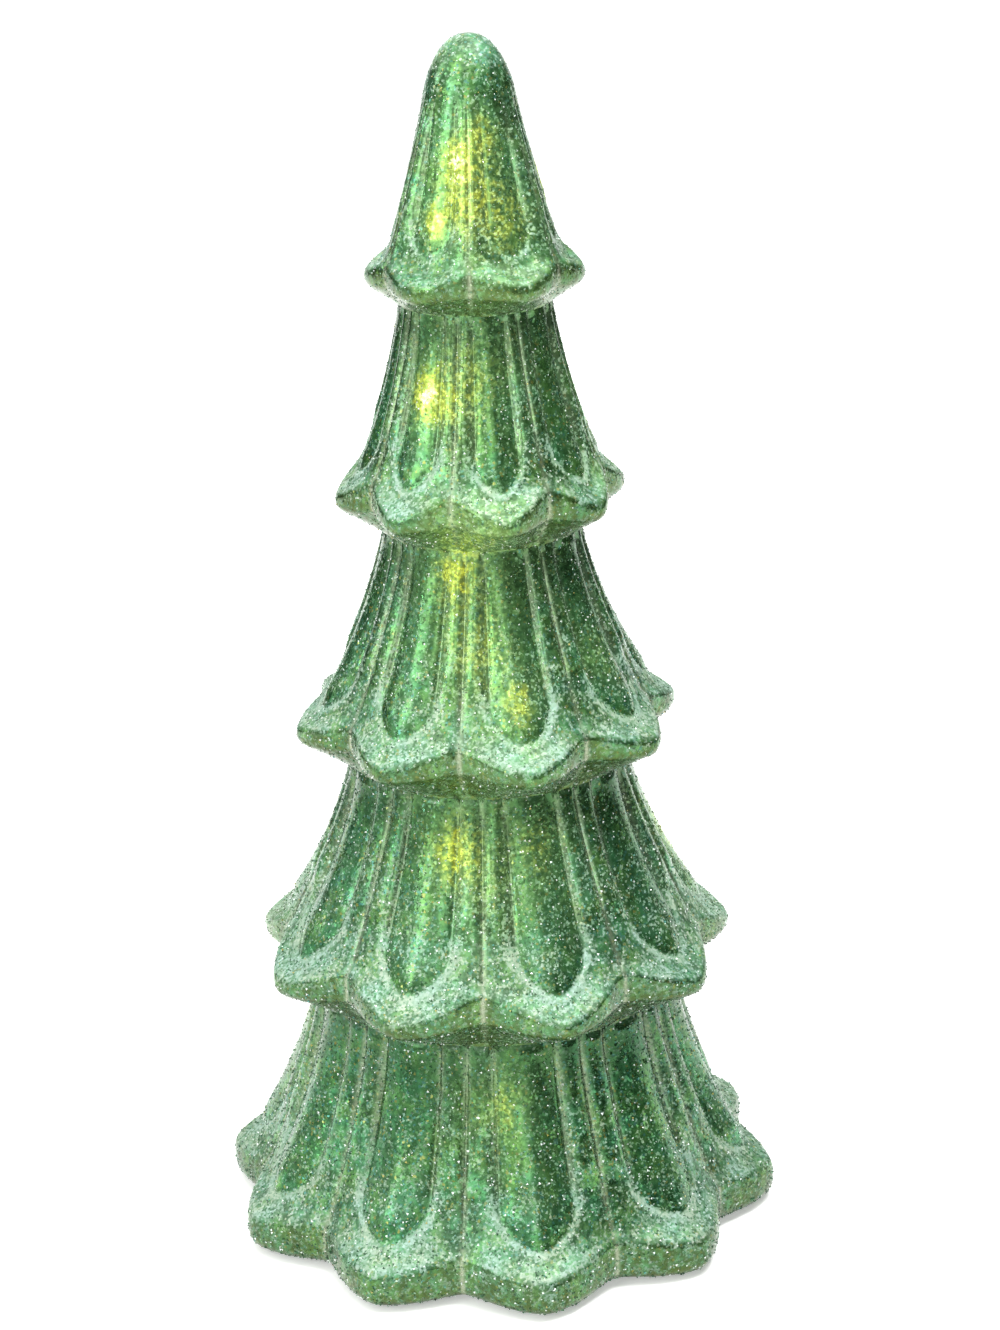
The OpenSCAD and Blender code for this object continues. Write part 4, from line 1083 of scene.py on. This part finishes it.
def cell_finish(name, row, side):
    cell = Finish(name, Coat_Weight=0.35, Coat_Roughness=0.12)
    x, y, z = cell.axes()
    along = from_mm(cell, x, side * BUTTON_X, -side)
    across = from_mm(cell, y, row * CELL_PITCH)
    section = cell.add("CombineXYZ", {1: across, 2: from_mm(cell, z, CELL_MIDDLE_Z)}).outputs[0]
    sleeve = cell.times(between(cell, along, *SLEEVE), cell.step(cell.vector("LENGTH", section), *SHOULDER_R))
    stripes = cell.math("MAXIMUM", between(cell, along, *PALE_BAND), between(cell, along, *HAIRLINE))
    foil = cell.mix(cell.noise(60.0, 3.0), rgb(0.035, 0.055, 0.075), rgb(0.05, 0.075, 0.10))
    foil = cell.mix(stripes, foil, rgb(0.58, 0.60, 0.58))
    cell.wire("Base Color", cell.mix(sleeve, rgb(0.60, 0.58, 0.54), foil))
    cell.wire("Metallic", cell.blend(sleeve, 1.0, 0.25))
    cell.wire("Roughness", cell.blend(cell.noise(500.0, 4.0), 0.24, 0.38))
    cell.wire("Normal", cell.bump(cell.noise(160.0, 2.0), 8e-5))
    return cell


for number, (row, side) in enumerate(CELL_ROWS, 1):
    dress(cell_finish(f"cell_sleeve_{number}", row, side), f"battery_{number}")
print("cells dressed:", len(CELL_ROWS))

# %% [markdown]
# ## The timer board
#
# A single-sided board is brown-green laminate under green mask. Tracks show through the mask as slightly raised,
# lighter lines that run square to the edges, which two families of thin bands give, broken up by coarse cells so
# that they start and stop.

# %% Board laminate
TRACK_HALF_PITCH = 0.0012


def board_finish():
    board = Finish("board_laminate", Coat_Weight=0.5, Coat_Roughness=0.15)
    choice = board.split(board.cells(160.0, distance="CHEBYCHEV"))[0]
    columns, rows = [board.math("PINGPONG", axis, TRACK_HALF_PITCH) for axis in board.axes()[:2]]
    line = board.blend(board.step(choice, 0.49, 0.51), rows, columns)
    track = board.times(board.step(line, 0.00045, 0.00035), board.step(choice, 0.2, 0.25))
    mask = board.mix(board.noise(120.0, 3.0), rgb(0.010, 0.085, 0.030), rgb(0.016, 0.11, 0.04))
    face = board.mix(track, mask, rgb(0.035, 0.19, 0.06))
    edge = board.step(board.math("ABSOLUTE", board.split(board.normal())[2]), 0.6, 0.4)
    board.wire("Base Color", board.mix(edge, face, rgb(0.30, 0.26, 0.14)))
    board.wire("Roughness", board.blend(edge, 0.35, 0.8))
    board.wire("Normal", board.bump(track, 4e-5))
    return board


dress(board_finish(), "circuit_board")
print("tracks every", round(2 * TRACK_HALF_PITCH / MM, 1), "mm")

# %% [markdown]
# ## Capacitor and resistors
#
# The capacitor is an aluminium can in a shrunk sleeve that leaves its top bare, with a dashed pale stripe down the
# minus side. The stripe is a range of angles round the can's own axis. The resistors are lacquered a sandy brown,
# with colour rings measured along X from the middle that they share.

# %% Capacitor and resistors
DASH_HALF_PITCH = 0.0009
# Middle of each colour ring in mm, and its colour
RINGS = [(-1.1, rgb(0.16, 0.06, 0.02)), (-0.5, rgb(0.02, 0.02, 0.02)), (0.1, rgb(0.45, 0.03, 0.02)),
         (1.2, rgb(0.55, 0.38, 0.08))]
RING_HALF, RING_BLUR = 0.18, 0.03


def capacitor_finish(low, high):
    can = Finish("capacitor_sleeve", Coat_Weight=0.4, Coat_Roughness=0.1)
    x, y, z = can.axes()
    middle = (low + high) / 2
    turn = can.math("ARCTAN2", can.math("SUBTRACT", y, middle.y), can.math("SUBTRACT", x, middle.x))
    stripe = can.step(can.math("ABSOLUTE", turn), 0.42, 0.38)
    dash = can.step(can.math("PINGPONG", z, DASH_HALF_PITCH), 0.0004, 0.0005)
    sleeve = can.mix(can.noise(300.0, 3.0), rgb(0.010, 0.014, 0.055), rgb(0.016, 0.022, 0.075))
    sleeve = can.mix(stripe, sleeve, can.mix(dash, rgb(0.42, 0.45, 0.50), rgb(0.02, 0.03, 0.08)))
    bare = can.step(z, high.z - 0.0004, high.z - 0.0002)
    can.wire("Base Color", can.mix(bare, sleeve, rgb(0.66, 0.66, 0.66)))
    can.wire("Metallic", bare)
    can.wire("Roughness", can.blend(can.noise(700.0, 3.0), 0.25, 0.4))
    return can


def resistor_finish(low, high):
    coat = Finish("resistor_coat", Coat_Weight=0.6, Coat_Roughness=0.12, Roughness=0.4)
    along = from_mm(coat, coat.axes()[0], (low.x + high.x) / 2 / MM)
    colour = coat.mix(coat.noise(900.0, 3.0), rgb(0.38, 0.26, 0.14), rgb(0.46, 0.33, 0.19))
    for middle, ring in RINGS:
        colour = coat.mix(between(coat, along, middle - RING_HALF, middle + RING_HALF, RING_BLUR), colour, ring)
    coat.wire("Base Color", colour)
    coat.wire("Normal", coat.bump(coat.noise(800.0, 2.0), 3e-5))
    return coat


dress(capacitor_finish(*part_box("capacitor")), "capacitor")
dress(resistor_finish(*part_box("resistors")), "resistors")
print("colour rings:", len(RINGS))

# %% [markdown]
# ## Wire swept along a path
#
# Springs, leads and the lamp string are all wire. One helper sweeps a round section along a list of points, turning
# the section as little as possible from point to point, and closes both ends, so each wire is a clean solid.


# %% Wire sweep
def travelled(path):
    """Distance gone at each point of a path."""
    return np.concatenate([[0], np.cumsum(np.linalg.norm(np.diff(path, axis=0), axis=1))])


def sweep(path, radius, sides=8):
    """Points and faces of a closed round wire along a path; the radius may change along it."""
    path = np.asarray(path, float)
    radius = np.broadcast_to(radius, len(path))
    ahead = unit(np.gradient(path, axis=0))
    spoke = np.cross(ahead[0], [0.3, 0.5, 0.8])
    points = []
    for place, forward, r in zip(path, ahead, radius):
        spoke = unit(spoke - (spoke @ forward) * forward)
        third = np.cross(forward, spoke)
        for t in 2 * math.pi * np.arange(sides) / sides:
            points.append(place + r * (math.cos(t) * spoke + math.sin(t) * third))
    faces = []
    for i in range(len(path) - 1):
        for k in range(sides):
            a, b = i * sides + k, i * sides + (k + 1) % sides
            faces.append([a, b, b + sides, a + sides])
    last = (len(path) - 1) * sides
    faces.append(list(range(sides))[::-1])
    faces.append(list(range(last, last + sides)))
    return np.array(points), faces


def gathered(parts):
    """Several point and face lists as one."""
    points, faces, start = [], [], 0
    for some_points, some_faces in parts:
        points.append(some_points)
        faces += [[start + k for k in face] for face in some_faces]
        start += len(some_points)
    return np.concatenate(points), faces


def wire_piece(name, parts, finish, node):
    points, faces = gathered(parts)
    piece = mesh_piece(name, points, faces, finish, "tree")
    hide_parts(node)
    return piece


print("sweep ready")

# %% [markdown]
# ## Contact springs
#
# A conical spring presses on each cell's flat end. It is wound from hard nickel-plated wire, with the wide end
# against its plate and the narrow end on the cell. The path is the solid's own, so the coil fills the room that the
# solid holds.

# %% Springs
SPRING_TURNS, SPRING_RINGS = 3, 40
SPRING_WIRE, SPRING_LONG = 0.35, 5.0
SPRING_WIDE, SPRING_NARROW = 4.0, 2.4
TUB_LONG, PLATE_THICK = 56.5, 0.5


def spring_path(row, side):
    start_x = -side * (TUB_LONG / 2 - PLATE_THICK - SPRING_WIRE)
    share = np.linspace(0, 1, SPRING_TURNS * SPRING_RINGS + 1)
    turn = 2 * math.pi * SPRING_TURNS * share
    radius = SPRING_WIDE + (SPRING_NARROW - SPRING_WIDE) * share
    along = start_x + side * (SPRING_LONG - 2 * SPRING_WIRE) * share
    return np.stack([along, CELL_PITCH * row + radius * np.cos(turn), CELL_MIDDLE_Z + radius * np.sin(turn)], 1)


springs = [sweep(spring_path(*cell), SPRING_WIRE, 10) for cell in CELL_ROWS]
wire_piece("wound_springs", springs, nickel, "contact_springs")
print("springs:", len(springs))

# %% [markdown]
# ## Leads
#
# Each lead arches from its terminal to the board. The insulation stops short of both ends, where the tinned strands
# show and run into a small cone of solder. The sleeve and the bare ends are one swept wire: the radius steps down at
# the cut and flares at the joint, and a mark along the wire tells the finish which part is bare.

# %% Leads
LEAD_R, STRANDS_R, SOLDER_R = 0.7, 0.42, 0.68
SOLDER_LONG, BARE_LONG = 0.5, 1.1
LEAD_SIDES, LEAD_RINGS = 12, 41
BOARD_TOP = 25.3
TERMINAL_X, TERMINAL_Z = 28.0, 24.5
PAD_X, PAD_Y = 17.5, 8.0
SWITCH_Y, SWITCH_Z, SWITCH_PAD_Y = 34.76, 13.2, 13.0
SWITCH_ENDS = [((x, SWITCH_Y, SWITCH_Z), (x, SWITCH_PAD_Y, BOARD_TOP)) for x in (-3, 0, 3)]
BATTERY_RISE, SWITCH_RISE = 4.0, 6.0


def arch(start, end, rise):
    start, end = np.array(start, float), np.array(end, float)
    t = np.linspace(0, math.pi, LEAD_RINGS)[:, None]
    lift = np.array([0, 0, 1]) * (1.5 * LEAD_R + rise * np.sin(t))
    middle = start + (end - start) * (1 - np.cos(t)) / 2 + lift
    return np.concatenate([[start], [start + (middle[0] - start) / 2], middle, [end + (middle[-1] - end) / 2], [end]])


def lead(start, end, rise):
    """One swept lead, and which of its points are bare metal."""
    path = arch(start, end, rise)
    gone = travelled(path)
    from_end = np.minimum(gone, gone[-1] - gone)
    radius = np.where(from_end < SOLDER_LONG, SOLDER_R, np.where(from_end < BARE_LONG, STRANDS_R, LEAD_R))
    return sweep(path, radius, LEAD_SIDES), np.repeat(from_end < BARE_LONG, LEAD_SIDES)


def insulation(name, colour, cloudy):
    sleeve = Finish(name, Roughness=0.42)
    tone = sleeve.mix(sleeve.noise(260.0, 3.0), colour, cloudy)
    bare = sleeve.attribute("bare")
    sleeve.wire("Base Color", sleeve.mix(bare, tone, rgb(0.62, 0.61, 0.58)))
    sleeve.wire("Metallic", bare)
    sleeve.wire("Normal", sleeve.bump(sleeve.noise(1400.0, 2.0), 3e-5))
    return sleeve


def lead_piece(name, node, slot, colour, cloudy, rise, ends):
    parts, bare = zip(*[lead(start, end, rise) for start, end in ends])
    piece = wire_piece(name, parts, insulation(slot, colour, cloudy), node)
    mark(piece, "bare", np.concatenate(bare))


lead_piece("red_lead", "battery_lead_red", "red_insulation", rgb(0.36, 0.012, 0.012), rgb(0.44, 0.02, 0.016),
           BATTERY_RISE, [((TERMINAL_X, -CELL_PITCH, TERMINAL_Z), (PAD_X, -PAD_Y, BOARD_TOP))])
lead_piece("black_lead", "battery_lead_black", "black_insulation", rgb(0.014, 0.014, 0.014), rgb(0.024, 0.024, 0.024),
           BATTERY_RISE, [((-TERMINAL_X, CELL_PITCH, TERMINAL_Z), (-PAD_X, PAD_Y, BOARD_TOP))])
lead_piece("switch_lead_trio", "switch_leads", "white_insulation", rgb(0.60, 0.60, 0.57), rgb(0.68, 0.68, 0.64),
           SWITCH_RISE, SWITCH_ENDS)
print("leads: red, black and", len(SWITCH_ENDS), "white")

# %% [markdown]
# ## The lamp string
#
# The string is a pair of fine enamelled wires, twisted together and wound up the clear rod. The route is the solid's
# own: turns against height and radius. Two wires then circle that route half a turn apart.

# %% Lamp wire
# Turns of the winding against height, then turns against radius, in mm
WINDING = [(-0.2, 38.0), (0.0, 42.0), (2.9, 101.0), (3.1, 103.5), (5.1, 140.0), (6.9, 174.5), (8.8, 217.0),
           (10.8, 259.5), (11.9, 276.0)]
WINDING_R = [(0.0, 9.0), (0.9, 14.0), (2.85, 16.0), (5.1, 14.0), (6.9, 12.5), (8.7, 13.5), (9.9, 11.5), (10.8, 9.5),
             (11.9, 5.5)]
FOOT_R, FOOT_TURN_BACK = 9.0, 0.1
CAP_HEIGHTS = (278.5, 280.0)
STRAND_R, STRANDS_APART = 0.27, 1.05
TWIST_PITCH, TWIST_RINGS = 9.0, 8


def string_at(turn):
    turn = np.asarray(turn, float)
    radius = np.interp(turn, *zip(*WINDING_R))
    angle = 2 * math.pi * turn
    return np.stack([radius * np.sin(angle), -radius * np.cos(angle), np.interp(turn, *zip(*WINDING))], -1)


def string_route():
    """From the board up round the rod and into its cap."""
    turns = np.linspace(WINDING[0][0], WINDING[-1][0], 500)
    wound = string_at(turns)
    angle = 2 * math.pi * (turns[0] - FOOT_TURN_BACK)
    foot = np.array([FOOT_R * math.sin(angle), -FOOT_R * math.cos(angle), BOARD_TOP])
    first = [foot, foot + [0, 0, 1.2], foot + (wound[0] - foot) * 0.4 + [0, 0, 2.0]]
    last = [wound[-1] * [1, 1, 0] + [0, 0, height] for height in CAP_HEIGHTS]
    return np.concatenate([first, wound, last])


def twisted(route, phase):
    gone = travelled(route)
    at = np.linspace(0, gone[-1], int(gone[-1] / TWIST_PITCH * TWIST_RINGS))
    path = np.stack([np.interp(at, gone, axis) for axis in route.T], 1)
    ahead = unit(np.gradient(path, axis=0))
    side = unit(np.cross(ahead, [0.05, 0.02, 1.0]))
    turn = (2 * math.pi * at / TWIST_PITCH + phase)[:, None]
    return path + STRANDS_APART * STRAND_R * (np.cos(turn) * side + np.sin(turn) * np.cross(ahead, side))


def wire_enamel():
    enamel = Finish("lamp_wire", Metallic=1.0, Coat_Weight=0.6, Coat_Roughness=0.08)
    enamel.wire("Base Color", enamel.mix(enamel.noise(240.0, 3.0), rgb(0.50, 0.34, 0.12), rgb(0.60, 0.42, 0.17)))
    enamel.wire("Roughness", enamel.blend(enamel.noise(900.0, 2.0), 0.25, 0.4))
    return enamel


route = string_route()
strands = [sweep(twisted(route, phase), STRAND_R, 6) for phase in (0, math.pi)]
wire_piece("twisted_string", strands, wire_enamel(), "light_string")
print("lamp wire:", round(float(travelled(route)[-1])), "mm")

# %% [markdown]
# ## Lamps and rod
#
# Each lamp is a drop of clear resin over a tiny chip, drawn out along the wire, so it is swept like a wire whose
# radius swells in the middle. It glows warm, and unevenly, as cloudy resin does. The rod is clear acrylic with faint
# handling marks in its polish.

# %% Lamps and rod
LAMP_TURNS = [0.02, 0.6, 1.2, 1.8, 2.35, 2.9, 3.13, 3.8, 4.45, 5.1, 5.7, 6.3, 6.9, 7.5, 8.15, 8.82, 9.45, 10.1, 10.8,
              11.35, 11.85]
BEAD_R, BEAD_NECK, BEAD_SWELL = 2.0, 0.35, 1.35


def lamp_drop(turn):
    """Resin drop round the wire, pointed at both ends."""
    ahead = unit(string_at(turn + 0.01) - string_at(turn - 0.01))
    share = np.linspace(-0.98, 0.98, 13)
    path = string_at(turn) + BEAD_R * share[:, None] * ahead
    return sweep(path, BEAD_NECK + BEAD_SWELL * (1 - share**2) ** 0.75, 14)


def lit_resin():
    resin = Finish("lamp_resin", Roughness=0.12, IOR=1.5, Emission_Color=rgb(1.0, 0.72, 0.22))
    cloud = resin.noise(700.0, 3.0)
    resin.wire("Base Color", resin.mix(cloud, rgb(0.85, 0.72, 0.36), rgb(0.95, 0.86, 0.55)))
    resin.wire("Emission Strength", resin.blend(cloud, 1.5, 4.0))
    resin.wire("Normal", resin.bump(cloud, 1e-4))
    return resin


wire_piece("lamp_drops", [lamp_drop(turn) for turn in LAMP_TURNS], lit_resin(), "lamp_beads")
clear_rod = Finish("clear_acrylic", Transmission_Weight=1.0, IOR=1.49, Base_Color=rgb(0.93, 0.97, 0.97))
clear_rod.wire("Roughness", clear_rod.blend(clear_rod.noise(300.0, 4.0), 0.02, 0.09))
dress(clear_rod, "light_mast")
print("lamps on the string:", len(LAMP_TURNS))

# %% [markdown]
# ## Marks on the base
#
# The underside carries what a moulder puts there: the three switch settings beside the slider, grip ribs on the
# battery door, and a plus and minus for each cell inside it. They stand a fraction of a millimetre proud. Letters
# come from Blender's own font as text objects, turned to be read from below.

# %% Raised marks
PLATE_UNDER, DOOR_INSIDE = 2.2, 4.2
MARK_RISE, MARK_ROUND, FONT_SHARE = 0.18, 0.04, 1.4
# Name, word and place along the slot of each switch setting
SETTINGS = (("mark_on", "ON", -6.2), ("mark_off", "OFF", 0.0), ("mark_timer", "TIMER", 7.2))
SETTING_Y, SETTING_TALL = 41.4, 1.7
SIGN_X, SIGN_TALL = 21.0, 4.0
RIBS, RIB_Y, RIB_PITCH, RIB_LONG, RIB_TAPER, RIB_WIDE = 5, 12.0, 1.6, 10.0, 0.9, 0.7


def lettering(name, words, x, y, z, height, body, facing_down=True):
    data = bpy.data.curves.new(name, "FONT")
    data.body = words
    data.size = height * FONT_SHARE * MM
    data.extrude = MARK_RISE * MM
    data.bevel_depth = MARK_ROUND * MM
    data.align_x = "CENTER"
    data.align_y = "CENTER"
    data.resolution_u = 4
    piece = bpy.data.objects.new(name, data)
    bpy.context.scene.collection.objects.link(piece)
    piece.location = (x * MM, y * MM, z * MM)
    piece.rotation_euler = (math.pi if facing_down else 0.0, 0.0, 0.0)
    data.materials.append(base_plastic.material)
    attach(piece, body)


def grip_rib(number):
    """Low bar along X with round ends, half sunk in the door, shorter away from the middle."""
    half = (RIB_LONG - RIB_TAPER * abs(number - RIBS // 2)) / 2
    share = np.linspace(-1, 1, 9)
    y = RIB_Y + RIB_PITCH * number
    path = np.stack([half * share, np.full_like(share, y), np.full_like(share, PLATE_UNDER)], 1)
    return sweep(path, RIB_WIDE / 2 * np.sqrt(np.maximum(1 - share**6, 0.05)), 10)


for name, words, x in SETTINGS:
    lettering(name, words, x, SETTING_Y, PLATE_UNDER, SETTING_TALL, "tree")
for row, side in CELL_ROWS:
    y = row * CELL_PITCH
    lettering(f"mark_plus_{row + 2}", "+", side * SIGN_X, y, DOOR_INSIDE, SIGN_TALL, "door", False)
    lettering(f"mark_minus_{row + 2}", "-", -side * SIGN_X, y, DOOR_INSIDE, SIGN_TALL, "door", False)
grip = mesh_piece("door_grip", *gathered([grip_rib(number) for number in range(RIBS)]), base_plastic, "door")
print("marks on the base:", len(SETTINGS) + 2 * len(CELL_ROWS), "and grip ribs:", RIBS)

# %% [markdown]
# ## The view transform
#
# The dressed tree has to stay the size of the solid one. The view transform is set to Standard.

# %% View transform
bpy.context.scene.view_settings.view_transform = "Standard"
